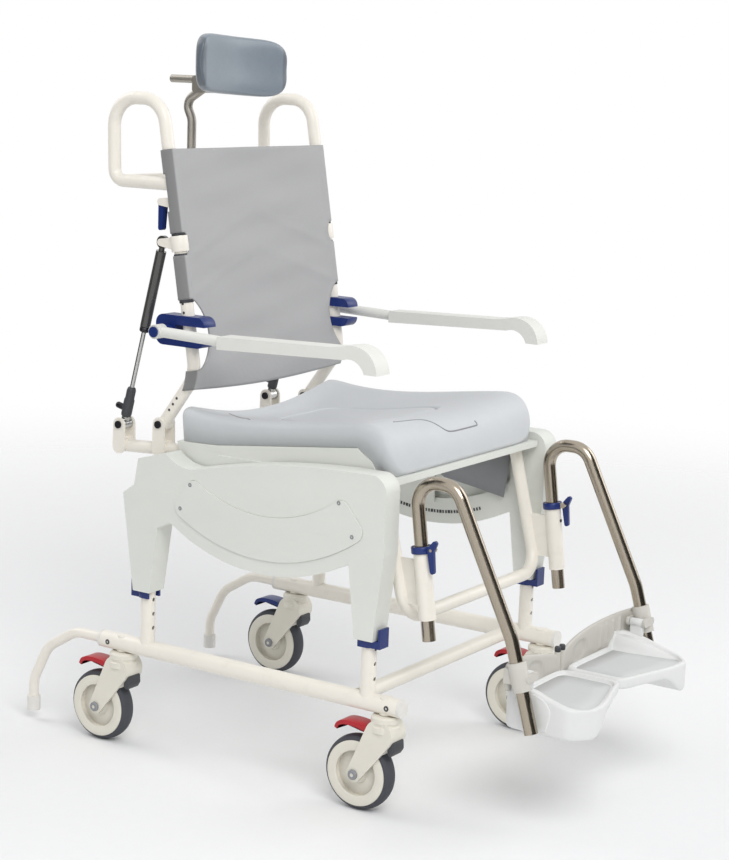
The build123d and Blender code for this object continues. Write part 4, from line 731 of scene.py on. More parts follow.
class Palette:
    """Every finish of the chair, built once, by name."""

    FINISHES = (
        PowderCoat("ivory_tube", (240, 235, 225)),
        MouldedPlastic("pale_frame", (222, 224, 218)),
        MouldedPlastic("castor_ivory", (226, 222, 210), 0.42),
        MouldedPlastic("white_moulding", (226, 227, 226), 0.4),
        MouldedPlastic("arm_white", (226, 226, 221), 0.5, Grain.COARSE),
        MouldedPlastic("heel_beige", (203, 200, 193), 0.5, Grain.COARSE),
        MouldedPlastic("deep_blue", (16, 42, 110), 0.3),
        MouldedPlastic("brake_red", (176, 26, 38), 0.32),
        MouldedPlastic("cap_grey", (176, 177, 175), 0.5),
        MouldedPlastic("bracket_grey", (140, 142, 146), 0.45),
        # Grey of the painted shade on the footplates' treads.
        MouldedPlastic("tread_shade_grey", (208, 210, 210), 0.55),
        MouldedPlastic("dark_moulding", (62, 64, 68), 0.5),
        Rubber("tyre_grey", (62, 64, 70)),
        Rubber("tip_grey", (216, 213, 205)),
        BrushedSteel("warm_steel", (176, 166, 151), 0.14),
        BrushedSteel("bright_steel", (196, 196, 194), 0.16),
        BrushedSteel("satin_steel", (186, 181, 172), 0.42),
        BrushedSteel("bolt_black", (62, 62, 66), 0.34),
        FoamSkin("seat_foam", (200, 203, 206)),
        # The headrest's ends carry painted shade from 111 mm out.
        FoamSkin("head_foam", (122, 132, 142), 700.0, 0.24, shaded_ends_from=0.111),
        # The back cloth's outer 78 mm on each side carry painted shade.
        WovenCloth("back_weave", (179, 179, 180), width=0.596, edge=0.078),
        WovenCloth("strap_weave", (70, 72, 76), 0.0022),
        GlossBlack("spring_black", (58, 57, 56)),
    )

    def __init__(self) -> None:
        """Build all materials."""
        self.made = {finish.name: finish.material() for finish in self.FINISHES}

    def dress(self, piece: Piece, finish: str) -> Piece:
        """Give a piece one finish all over.

        Args:
            piece: The object to dress.
            finish: The finish's name.

        Returns:
            The same object.
        """
        piece.data.materials.clear()
        piece.data.materials.append(self.made[finish])
        return piece

    def place(self, piece: Piece, finish: str, body: str, slot: str) -> Piece:
        """Dress a new piece and let it ride on a body.

        Args:
            piece: The new object.
            finish: Its finish.
            body: The CAD body that carries it.
            slot: The record's material slot; not used.

        Returns:
            The same object.
        """
        self.dress(piece, finish)
        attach(piece, body)
        LOG.info("piece %s on %s", piece.name, body)
        return piece


def both(*names: str) -> list[str]:
    """Each name with its right and its left ending."""
    return [f"{name}_{side}" for name in names for side in SIDES]


NODE_FINISHES = {
    "ivory_tube": [*both("base_rail", "back_tube"), "base_cross_tube", "anti_tippers", "seat_frame",
                   "back_cross_tube", "strut_brackets"],
    "pale_frame": [*both("side_frame"), "side_covers", "seat_plate", "tilt_carriages"],
    "arm_white": both("armrest"),
    "white_moulding": both("footplate"),
    "heel_beige": both("heel_band", "footplate_mount"),
    "deep_blue": [*both("arm_clamp", "squeeze_lever", "leg_catch"), "leg_clips_front", "leg_clips_rear",
                  "headrest_knob", "castor_pedal_rear_left"],
    "brake_red": ["castor_pedal_front_right", "castor_pedal_front_left", "castor_pedal_rear_right"],
    "castor_ivory": [f"castor_{part}_{corner}" for part in ("fork", "wheel") for corner in CORNERS],
    "tyre_grey": [f"castor_tyre_{corner}" for corner in CORNERS],
    "tip_grey": ["rail_caps"],
    "cap_grey": ["tilt_rollers"],
    "warm_steel": both("legrest"),
    "bright_steel": ["strut_rods"],
    "satin_steel": ["headrest_rod", "headrest_post"],
    "bolt_black": ["pivot_bolts"],
    "spring_black": ["strut_cylinders"],
}

# Width in millimetres of the rounding on the CAD nodes' sharp edges.
EDGE_ROUNDS = {
    4.0: both("side_frame"),
    2.2: ["leg_clips_front", "leg_clips_rear"],
    2.0: ["seat_plate"],
    1.5: [*both("arm_clamp"), "headrest_knob"],
    1.2: [*both("footplate_mount", "squeeze_lever"), "side_covers", "strut_brackets"],
    1.0: [*both("leg_catch"), "back_cross_tube"],
}


def round_edges(node: Piece, width: float, join: float = 0.02, sharp: float = 40.0) -> None:
    """Join a node's loose triangles and round its sharp edges with live modifiers.

    Args:
        node: The CAD node.
        width: Width of the rounding in millimetres.
        join: Distance in millimetres within which points are one.
        sharp: Angle in degrees from which an edge is sharp.
    """
    weld = node.modifiers.new("Join", "WELD")
    weld.merge_threshold = join * MM
    bevel = add_bevel(node, width, 2).modifiers["Edge"]
    bevel.angle_limit = radians(sharp)


# Soft pieces

@dataclass
class SeatCushion:
    """Moulded seat pad round an aperture, and the lift-out insert that fills it. Millimetres."""

    half_width: float = 231.5
    rear: float = 234.0
    front: float = -199.0
    corner_power: float = 26.0
    aperture: Pair = (95.0, 125.0)
    aperture_power: float = 4.0
    centre_y: float = 20.0
    side_y: tuple[float, ...] = (-215.0, -137.0, -49.0, 38.0, 127.0, 229.0)
    side_z: tuple[float, ...] = (629.0, 625.0, 614.0, 603.0, 598.0, 606.0)
    lip: float = 543.5
    shell_y: tuple[float, ...] = (-175.0, -160.0, -131.0, 151.0, 234.0)
    shell_z: tuple[float, ...] = (lip, 565.5, 584.5, 551.5, 548.5)
    hollow_half: float = 205.0
    hollow_power: float = 2.2
    valley: float = 20.0
    valley_front: float = 0.55
    valley_run: Pair = (-150.0, 60.0)
    tail: float = 7.0
    tail_run: Pair = (120.0, 230.0)
    roll: float = 72.0
    roll_powers: Pair = (3.0, 0.4)
    edge: float = 15.0
    edge_power: float = 2.4
    edge_most: float = 0.45
    upright: float = 0.7
    hole_edge: float = 8.0
    hole_most: float = 0.3
    hole_drop: float = 0.18
    thin: float = 0.4
    gap: float = 1.2
    insert_flat: float = 0.9
    seam_x: Pair = (-160.0, 46.0)
    seam_in: float = 28.0
    seam_reach: float = 18.0
    seam_bend: Pair = (-70.0, 15.0)
    seam_curl: Pairs = ((2.0, 0.6), (2.0, 2.5), (0.0, 5.0))
    rear_seam: Pairs = ((-211.28, 97.2), (-140.0, 194.0))
    seam_radius: float = 1.3
    seam_sink: float = 0.3
    seam_reference: Triple = (0.0, 0.3, 1.0)

    def seat_line(self, y: np.ndarray) -> np.ndarray:
        """Height of the shell under the pad: straight runs between its few corners."""
        return np.interp(y, self.shell_y, self.shell_z)

    def top(self, x: np.ndarray, y: np.ndarray) -> np.ndarray:
        """Height of the pad's top.

        A cubic through the side edge's heights, less a valley across the seat that is deepest behind the
        thighs, less a dip at the tail, then a power curve down to the lip over the front roll.

        Args:
            x: X of each point.
            y: Y of each point.

        Returns:
            Z of each point.
        """
        line = np.polynomial.Polynomial.fit(self.side_y, self.side_z, 3)
        hollow = np.clip(1.0 - (np.abs(x) / self.hollow_half) ** self.hollow_power, 0.0, 1.0)
        deep = self.valley_front + (1.0 - self.valley_front) * smooth_step(y, *self.valley_run)
        height = line(y) - self.valley * hollow * deep
        height -= self.tail * hollow ** 2 * smooth_step(y, *self.tail_run)
        fall = np.clip((self.front + self.roll - y) / self.roll, 0.0, 1.0)
        first, second = self.roll_powers
        return self.lip + (height - self.lip) * np.clip(1.0 - fall ** first, 0.0, 1.0) ** second

    def seam_shade_lines(self) -> Iterable[Piece]:
        """Grey lines of painted shade in the moulded seam grooves: an S over the front roll that curls up at
        its end, and a slanted one behind.

        Returns:
            One thin grey line of painted shade on the surface for each seam.
        """
        x = np.linspace(*self.seam_x, 120)
        y = self.front + self.seam_in - self.seam_reach * np.tanh((x - self.seam_bend[0]) / self.seam_bend[1])
        curl_x, curl_y = np.array(self.seam_curl).T
        wave = np.append(x, x[-1] + curl_x), np.append(y, y[-1] + curl_y)
        slant = np.linspace(*np.array(self.rear_seam), 40).T
        for end, line in (("front", wave), ("rear", slant)):
            path = np.column_stack([*line, self.top(*line) - self.seam_sink])
            yield pipe(f"seat_seam_shade_{end}", path, self.seam_radius, 8, self.seam_reference)

    def pad(self) -> Piece:
        """The pad as a ring: round the seat by angle, and round its section from the outer edge inwards.

        Its top is drawn down to an upright rim at the outer edge by a superellipse and by a quarter circle
        at the hole.

        Returns:
            The pad's object.
        """
        angle = full_turn(520)[:, None]
        outer = squircle(angle, self.half_width, (self.rear - self.front) / 2, self.corner_power)
        inner = squircle(angle, *self.aperture, self.aperture_power)
        outer_x, outer_y = outer * np.cos(angle), (self.rear + self.front) / 2 + outer * np.sin(angle)
        inner_x, inner_y = inner * np.cos(angle), self.centre_y + inner * np.sin(angle)
        reach = np.hypot(outer_x - inner_x, outer_y - inner_y)
        near = np.minimum(self.edge / reach, self.edge_most) * (1.0 - np.cos(quarter_turn(16)))
        far = 1.0 - np.minimum(self.hole_edge / reach, self.hole_most) * (1.0 - np.sin(quarter_turn(9)))
        flat = near[:, -1:] + (far[:, :1] - near[:, -1:]) * np.linspace(0.0, 1.0, 64)[1:-1]
        inward = np.concatenate([near, flat, far], axis=1)
        x = outer_x + (inner_x - outer_x) * inward
        y = outer_y + (inner_y - outer_y) * inward
        from_edge = np.clip(inward * reach / self.edge, 0.0, 1.0)
        from_hole = np.clip((1.0 - inward) * reach / self.hole_edge, 0.0, 1.0)
        round_edge = (1.0 - (1.0 - from_edge) ** self.edge_power) ** (1.0 / self.edge_power)
        round_hole = 1.0 - self.hole_drop * (1.0 - np.sqrt(1.0 - (1.0 - from_hole) ** 2))
        floor = self.seat_line(y)
        rim = floor + (self.top(x, y) - floor) * self.upright
        high = floor + (rim + (self.top(x, y) - rim) * round_edge - floor) * round_hole
        over = np.stack([x, y, np.maximum(high, floor + self.thin)], axis=2)
        under = np.stack([x, y, floor], axis=2)[:, ::-8]
        grid = np.concatenate([over, under], axis=1)
        return surface("seat_cushion", grid, wrap_rows=True, wrap_columns=True)

    def insert(self) -> Piece:
        """The lift-out insert as a disc with a quarter circle at its upper edge.

        Returns:
            The insert's object.
        """
        angle = full_turn(160)[:, None]
        edge = squircle(angle, *(half - self.gap for half in self.aperture), self.aperture_power)
        fall = np.concatenate([np.zeros(40), np.sin(quarter_turn(10))[1:]])
        share = np.append(np.linspace(0.0, self.insert_flat, 40), np.full(9, self.insert_flat))
        share = share + (1.0 - self.insert_flat) * fall
        x = edge * np.cos(angle) * share
        y = self.centre_y + edge * np.sin(angle) * share
        floor = self.seat_line(y) + self.thin
        drop = self.hole_drop * (1.0 - np.sqrt(1.0 - fall ** 2))
        return disc("seat_insert_cushion", x, y, floor + (self.top(x, y) - floor) * (1.0 - drop), floor)

    def build(self, palette: Palette) -> None:
        """Make both cushions and the grey lines of painted seam shade, dress them and put them in place of
        their CAD solids.

        Args:
            palette: The finishes.
        """
        for piece, node, body in ((self.pad(), "seat_pad", "seat"), (self.insert(), "seat_insert", "insert")):
            palette.place(piece, "seat_foam", body, "foam")
            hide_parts(node)
        # Grey lines of painted shade in the seam grooves.
        for shade_line in self.seam_shade_lines():
            palette.place(shade_line, "bracket_grey", "seat", "foam")


@dataclass
class BackCloth:
    """Cloth sleeve stretched over both back tubes, open at the rear between three straps. Millimetres.

    Heights run up the tubes from their knee, and the windows and rows are given in them.
    """

    knee: Pair = (212.0, 661.0)
    crest: Pair = (292.0, 1118.0)
    tube_x: float = 214.0
    wrap: float = 12.8
    hem: float = 44.0
    low: float = -24.0
    high: float = 380.0
    knee_end: float = 24.0
    knee_back: float = 15.0
    sag: float = 10.0
    slack_foot: Pair = (-60.0, 90.0)
    slack_head: Pair = (-30.0, 70.0)
    thickness: float = 2.4
    row_step: float = 4.0
    waves: tuple[Triple, ...] = ((1.5, 17.0, 90.0), (0.9, 9.0, -55.0))
    drawn_rows: Pair = (131.0, 196.0)
    drawn_depth: float = 5.0
    drawn_width: float = 9.0
    drawn_reach: float = 90.0
    drawn_slope: float = 0.35
    bottom_drop: float = 8.0
    strap_rows: Triple = (-6.0, 146.0, 258.0)
    strap_width: float = 25.0
    strap_tuck: float = 18.0
    strap_behind: float = 2.6
    strap_bow: float = 1.5
    strap_thick: float = 1.8
    clamp_window: Pair = (8.0, 128.0)
    bracket_window: Pair = (202.3, 240.3)
    lever_window: Pair = (277.3, 340.0)
    lever_behind: float = 3.0
    scoops: Pair = (34.0, 9.0)
    scoop_power: float = 0.7
    # Dark rings of painted shade where the wraps end round the tubes.
    end_shade_ring: Pair = (11.2, 12.2)
    end_shade_run: Pair = (-5.0, 3.0)

    @property
    def width(self) -> float:
        """Width of the flat cloth: both hems, both half turns and the panel between the tubes."""
        return 2.0 * (self.hem + np.pi * self.wrap + self.tube_x)

    @property
    def lean(self) -> np.ndarray:
        """Unit direction of the tubes, in Y and Z."""
        run = np.array(self.crest) - np.array(self.knee)
        return run / np.linalg.norm(run)

    def lift(self, x: Any, behind: Any, up: Any) -> np.ndarray:
        """Points of the cloth's own plane carried into the chair: along the tubes' lean and square to it.

        Args:
            x: X of each point.
            behind: How far it lies behind the tubes' plane.
            up: Its height along the tubes.

        Returns:
            X, Y and Z of each point.
        """
        y = self.knee[0] + up * self.lean[0] + behind * self.lean[1]
        z = self.knee[1] + up * self.lean[1] - behind * self.lean[0]
        return np.stack(np.broadcast_arrays(x, y, z), axis=-1)

    def knee_bend(self, up: np.ndarray) -> np.ndarray:
        """How far the tubes curve rearwards below the straight run: a square law."""
        share = np.clip((self.knee_end - up) / (self.knee_end - self.low), 0.0, 1.0)
        return self.knee_back * share ** 2

    def scoop(self, up: np.ndarray) -> np.ndarray:
        """How far the panel's edge is cut in at each height, by a sine over the arm clamp and the bracket.

        Args:
            up: Height along the tubes.

        Returns:
            The cut's depth at each height.
        """
        cuts = zip((self.clamp_window, self.bracket_window), self.scoops)
        waves = [depth * np.sin(np.pi * np.clip((up - low) / (high - low), 0.0, 1.0)) ** self.scoop_power
                 for (low, high), depth in cuts]
        return np.sum(waves, axis=0)

    def section(self) -> tuple[np.ndarray, np.ndarray, np.ndarray]:
        """The sleeve's section from one rear hem over the front to the other.

        Returns:
            For each column: its X, how far it lies behind the tubes, and its place across the flat cloth.
        """
        turn = np.linspace(np.pi / 2, -np.pi / 2, 15)
        hem = self.tube_x - np.linspace(self.hem, 0.0, 8)[:-1]
        half_x = np.concatenate([hem, self.tube_x + self.wrap * np.cos(turn)])
        half_y = np.concatenate([np.full(len(hem), self.wrap), self.wrap * np.sin(turn)])
        panel = np.linspace(self.tube_x, -self.tube_x, 80)[1:-1]
        across = np.concatenate([half_x, panel, -half_x[::-1]])
        behind = np.concatenate([half_y, np.full(len(panel), -self.wrap), half_y[::-1]])
        step = np.hypot(np.diff(across), np.diff(behind))
        return across, behind, np.concatenate([[0.0], np.cumsum(step)])

    def folds(self, across: np.ndarray, up: np.ndarray) -> np.ndarray:
        """Slack in the panel: soft level waves, less two drawn folds that run in from the cut-outs.

        Args:
            across: X of each point.
            up: Its height along the tubes.

        Returns:
            How far each point moves rearwards.
        """
        level = sum(size * np.sin(up / tall + across / wide) for size, tall, wide in self.waves)
        inset = self.tube_x - np.abs(across)
        drawn = sum(np.exp(-((up - row - self.drawn_slope * inset) / self.drawn_width) ** 2)
                    for row in self.drawn_rows)
        return level - self.drawn_depth * drawn * np.exp(-inset / self.drawn_reach)

    def sleeve(self) -> tuple[Piece, float]:
        """The sleeve: its section sags between the tubes and is carried up the back, with windows left out.

        Returns:
            The cloth's object, with a flat UV map, and its flat area in square metres.
        """
        across, behind, flat_x = self.section()
        breaks = [self.low, *self.clamp_window, *self.bracket_window, *self.lever_window, self.high]
        rows = [np.linspace(start, stop, max(int((stop - start) / self.row_step), 2), endpoint=False)
                for start, stop in zip(breaks, breaks[1:])]
        up = np.concatenate([*rows, [self.high]])[:, None]
        on_panel = (np.abs(across) < self.tube_x + 0.01) & (behind < -self.wrap + 0.01)
        bay = np.clip(1.0 - (across / self.tube_x) ** 2, 0.0, 1.0) * on_panel
        narrow = 1.0 - self.scoop(up) / self.tube_x * on_panel
        x = across * narrow
        slack = smooth_step(up - self.low, *self.slack_foot) * smooth_step(self.high - up, *self.slack_head)
        depth = behind + (self.sag * slack + self.folds(x, up)) * np.sqrt(bay) + self.knee_bend(up)
        below = np.clip((self.clamp_window[0] - up) / (self.clamp_window[0] - self.low), 0.0, 1.0)
        middle = flat_x[-1] / 2
        flat_u = np.where(on_panel, middle + (flat_x - middle) * narrow, flat_x)
        flat = np.stack(np.broadcast_arrays(flat_u, up), axis=2)
        keep = self.kept(across, behind, up[:, 0])
        grid = self.lift(x, depth, up - self.bottom_drop * below * bay)
        piece = thicken(surface("back_cloth", grid, keep=keep, flat=flat), self.thickness)
        cells = np.diff(flat[..., 0], axis=1)[1:] * np.diff(up, axis=0)
        return piece, float(cells[keep].sum()) * MM * MM

    def kept(self, across: np.ndarray, behind: np.ndarray, up: np.ndarray) -> np.ndarray:
        """Which quads of the sleeve stay: windows take the wraps, or only their rear where a lever hangs.

        Args:
            across: X of each column.
            behind: How far each column lies behind the tubes.
            up: Height of each row.

        Returns:
            True for each quad that stays.
        """
        middle_up = (up[1:] + up[:-1])[:, None] / 2
        middle_x = np.abs(across[1:] + across[:-1])[None, :] / 2
        middle_y = (behind[1:] + behind[:-1])[None, :] / 2
        wraps = (middle_x > self.tube_x) | (middle_y > 0)
        windows = (self.clamp_window, self.bracket_window, self.lever_window)
        clamp, bracket, lever = ((middle_up > low) & (middle_up < high) for low, high in windows)
        return ~((clamp | bracket) & wraps | lever & (middle_y > self.lever_behind))

    def strap(self, row: float, number: int) -> Piece:
        """One webbing strap from hem to hem behind the tubes, bowed a little to the front.

        Args:
            row: Height of its middle along the tubes.
            number: Its number, from below.

        Returns:
            The strap's object, with a flat UV map.
        """
        half = self.tube_x - self.hem + self.strap_tuck
        x = np.linspace(-half, half, 40)[None, :]
        up = row + np.linspace(-0.5, 0.5, 6)[:, None] * self.strap_width
        bow = self.strap_bow * (1.0 - (x / half) ** 2)
        behind = self.wrap + self.strap_behind - bow + self.knee_bend(up)
        flat = np.stack(np.broadcast_arrays(x, up), axis=2)
        return thicken(surface(f"back_strap_{number}", self.lift(x, behind, up), flat=flat), self.strap_thick)

    def wrap_end_shade(self, row: float, side: int, name: str) -> Piece:
        """Painted shade where a wrap ends on its tube, for the shaded inside of its cut end: a short thin
        dark ring round the tube.

        Args:
            row: Height of the wrap's end.
            side: 1 for the chair's left, -1 for its right.
            name: Name of the piece.

        Returns:
            The ring's object.
        """
        (inner, outer), (low, high) = self.end_shade_ring, self.end_shade_run
        profile = [(inner, low), (outer, low), (outer, high), (inner, high), (inner, low)]
        return turned(name, profile, self.lift(side * self.tube_x, 0.0, row), (0.0, *self.lean), 40)

    def build(self, palette: Palette) -> None:
        """Make the sleeve, its straps and the dark rings of painted shade at the wraps' ends, dress them and
        put them in place of the CAD solid.

        Args:
            palette: The finishes.
        """
        sleeve, area = self.sleeve()
        palette.place(sleeve, "back_weave", "back", "cloth")
        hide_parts("back_cover")
        straps = [palette.place(self.strap(row, number), "strap_weave", "back", "cloth")
                  for number, row in enumerate(self.strap_rows)]
        ends = (self.clamp_window[1], *self.bracket_window)
        for label, side in SIDES.items():
            for number, row in enumerate(ends):
                # A dark ring of painted shade where each wrap ends.
                ring = self.wrap_end_shade(row, side, f"back_lining_{label}_{number}")
                straps.append(palette.place(ring, "dark_moulding", "back", "cloth"))
        self.width * MM


@dataclass
class HeadCushion:
    """Concave headrest pad with two lugs behind it. Millimetres."""

    half_width: float = 125.0
    low: float = 1126.0
    height: float = 101.0
    edge_y: float = 275.0
    back_y: float = 333.0
    thickness: float = 40.0
    tip_in: float = 11.0
    section_power: float = 3.4
    tip_powers: Pair = (7.0, 1.0 / 2.8)
    thin: float = 0.3
    thin_powers: Pair = (12.0, 0.4)
    bow_power: float = 1.8
    dish: float = 6.0
    roll: float = 2.6
    pivot: Pair = (343.0, 1150.0)
    lug_in: float = 12.3
    lug: float = 5.0
    lug_ahead: float = 24.0
    lug_behind: float = 9.0
    lug_flare: float = 6.0
    lug_round: float = 0.8
    pin_radius: float = 4.0
    pin_past: float = 18.0
    pin_edge: float = 0.6

    def pad(self) -> Piece:
        """The pad: a superellipse section carried along a shallow arc, drawn in to nothing at both tips.

        Returns:
            The pad's object.
        """
        along = np.sin(np.linspace(-np.pi / 2, np.pi / 2, 110))[:, None]
        depth, rise = superellipse(full_turn(72)[None, :], self.section_power)
        far = np.abs(along)
        full, ends = (np.clip(1.0 - far ** first, 0.0, 1.0) ** second
                      for first, second in (self.tip_powers, self.thin_powers))
        thick = self.thickness / 2 * (1.0 - self.thin * far ** 2) * ends
        bow = self.back_y - self.edge_y - self.thickness / 2 - self.tip_in
        middle = self.edge_y + self.tip_in + bow * (1.0 - far ** self.bow_power)
        dish = self.dish * (1.0 - rise ** 2) * (depth < 0)
        x = self.half_width * along
        y = middle + thick * depth + dish * full
        z = self.low + self.height / 2 * (1.0 + full * rise) - x * tan(radians(self.roll))
        grid = np.stack(np.broadcast_arrays(x, y, z), axis=2)
        return surface("headrest_cushion", grid, wrap_columns=True)

    def lugs(self) -> Iterable[Piece]:
        """Two hinge lugs, round behind and flared to the pad in front, and the pin through them.

        Returns:
            The lugs and the pin.
        """
        turn = full_turn(48)
        ahead = np.cos(turn) < 0
        reach = np.where(ahead, self.lug_ahead, self.lug_behind)
        tall = self.lug_behind + ahead * self.lug_flare * np.abs(np.cos(turn))
        outline = np.column_stack([reach * np.cos(turn), tall * np.sin(turn)]) + self.pivot
        out = self.lug_in + self.lug
        for label, side in SIDES.items():
            lug = side_prism(f"headrest_lug_{label}", outline, side, (self.lug_in, out))
            yield add_bevel(lug, self.lug_round)
        pin = rod_profile(self.pin_radius, 0.0, out * 2 + self.pin_past, self.pin_edge)
        yield turned("headrest_pin", pin, (out, *self.pivot), (-1, 0, 0))

    def build(self, palette: Palette) -> None:
        """Make the pad and its lugs and put them in place of the CAD solid.

        Args:
            palette: The finishes.
        """
        pad = palette.place(self.pad(), "head_foam", "headrest_pad", "head_foam")
        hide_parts("headrest_pad")
        for piece in self.lugs():
            palette.place(piece, "bracket_grey", "headrest_pad", "grey_plastic")


# Small fittings

@dataclass
class CastorTrim:
    """Black thread guards, grey axle caps, wheel rings and hooked brake pedals. Millimetres."""

    track: float = 258.0
    stem_y: Pair = (-222.0, 324.0)
    trail: float = 45.0
    hub_z: float = 62.5
    guard: Pairs = ((-26.0, 128.0), (-27.0, 113.0), (-21.0, 103.0), (-14.0, 107.0), (-15.0, 128.0))
    guard_half: float = 16.0
    guard_round: float = 2.5
    pedal_spine: Pairs = ((-19.0, 138.5), (-2.0, 143.0), (22.0, 144.0), (36.0, 139.5), (41.0, 131.0))
    pedal_thick: Pair = (9.0, 6.0)
    pedal_half: float = 15.5
    pedal_round: float = 2.0
    wheel_half: float = 15.0
    ring: Pairs = ((37.5, 0.0), (37.9, 0.9), (38.9, 1.2), (53.0, 1.2), (54.1, 0.8), (54.5, 0.0), (54.5, -0.5),
                   (37.5, -0.5), (37.5, 0.0))
    fork_out: float = 22.0
    cap: Pairs = ((0.0, 3.4), (3.2, 3.4), (3.4, 4.8), (5.6, 4.8), (7.4, 4.3), (8.3, 3.0), (8.5, 0.2),
                  (0.0, 0.2))

    def hub(self, corner: str) -> Pair:
        """X and Y of a wheel's middle."""
        end, side = corner.split("_")
        return SIDES[side] * self.track, self.stem_y[end == "rear"] + self.trail

    def guard_piece(self, corner: str) -> Piece:
        """Black thread guard in front of the fork: a five-cornered outline carried across it.

        Args:
            corner: Which castor.

        Returns:
            The guard's object.
        """
        x, y = self.hub(corner)
        outline = np.array(self.guard) + (y - self.trail, 0.0)
        piece = prism(f"castor_guard_{corner}", outline, x - self.guard_half, x + self.guard_half)
        return add_bevel(piece, self.guard_round)

    def pedal(self, corner: str) -> Piece:
        """Brake pedal: a thick plate that arches back from its pin and hooks down at the tip.

        Args:
            corner: Which castor.

        Returns:
            The pedal's object.
        """
        x, y = self.hub(corner)
        spine = curve_through(np.array(self.pedal_spine) + (y, 0.0), 8)
        thick = plane_normals(spine) * np.linspace(*self.pedal_thick, len(spine))[:, None] / 2
        outline = np.concatenate([spine + thick, (spine - thick)[::-1]])
        piece = prism(f"brake_pedal_{corner}", outline, x - self.pedal_half, x + self.pedal_half)
        return add_bevel(piece, self.pedal_round)

    def on_faces(self, name: str, corner: str, profile: Pairs, out: float, sides: int) -> Iterable[Piece]:
        """A turned piece on both faces of a wheel, about its axle.

        Args:
            name: What the piece is.
            corner: Which castor.
            profile: Radius and height pairs.
            out: Distance of the face from the wheel's middle.
            sides: Steps round the axle.

        Returns:
            The two pieces.
        """
        x, y = self.hub(corner)
        for face, way in WHEEL_FACES.items():
            centre = (x + way * out, y, self.hub_z)
            yield turned(f"{name}_{corner}_{face}", profile, centre, (way, 0, 0), sides)

    def build(self, palette: Palette) -> None:
        """Make the trim of all four castors: raised rings on the wheels, and domed caps with a round recess.

        Args:
            palette: The finishes.
        """
        for corner in CORNERS:
            palette.place(self.guard_piece(corner), "dark_moulding", f"fork_{corner}", "dark_plastic")
            colour = ("deep_blue", "blue_plastic") if corner == "rear_left" else ("brake_red", "red_plastic")
            pedal = palette.place(self.pedal(corner), colour[0], f"pedal_{corner}", colour[1])
            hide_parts(f"castor_pedal_{corner}")
            for ring in self.on_faces("wheel_ring", corner, self.ring, self.wheel_half, 64):
                palette.place(ring, "castor_ivory", f"wheel_{corner}", "white_plastic")
            for cap in self.on_faces("axle_cap", corner, self.cap, self.fork_out, 36):
                palette.place(cap, "bracket_grey", f"fork_{corner}", "grey_plastic")


@dataclass
class Spots:
    """Like turned pieces on the chair's outer faces, at a distance X from its middle. Millimetres.

    The profile's radii are shares of the radius, and the spots are (Y, Z).
    """

    name: str
    x: float
    spots: Pairs
    profile: Pairs
    radius: float
    sides: int
    look: tuple[str, str, str]

    def build(self, palette: Palette) -> None:
        """Make the pieces on both sides; the look is their finish, body and slot.

        Args:
            palette: The finishes.
        """
        profile = np.array(self.profile) * (self.radius, 1.0)
        for label, side in SIDES.items():
            for number, spot in enumerate(self.spots):
                name, centre = f"{self.name}_{label}_{number}", (side * self.x, *spot)
                palette.place(turned(name, profile, centre, (side, 0, 0), self.sides), *self.look)


# A pan head with a recessed socket, sunk a little into what it holds, and a dark disc that reads as a hole.
PAN_HEAD = ((0.0, -0.6), (0.4, -0.6), (0.45, 0.9), (0.8, 0.8), (1.0, 0.2), (1.0, -1.5), (0.0, -1.5))
DRILLED_HOLE = ((0.0, 0.2), (1.0, 0.2), (1.0, -1.2), (0.0, -1.2))
FRAME_SCREWS = Spots("frame_screw", 281.0, ((166.0, 489.0), (186.0, 446.0), (-133.0, 503.0), (-160.0, 452.0)),
                     PAN_HEAD, 3.6, 28, ("bracket_grey", "upper", "grey_plastic"))
RAIL_SCREWS = Spots("rail_screw", 273.0, ((-231.0, 182.0), (348.0, 182.0)),
                    PAN_HEAD, 4.6, 28, ("dark_moulding", "chassis", "dark_plastic"))
BACK_HOLES = Spots("back_hole", 225.0,
                   ((258.2, 597.3), (250.3, 608.2), (242.4, 619.1), (230.4, 766.0), (233.0, 781.0)),
                   DRILLED_HOLE, 2.4, 20, ("dark_moulding", "back", "dark_plastic"))


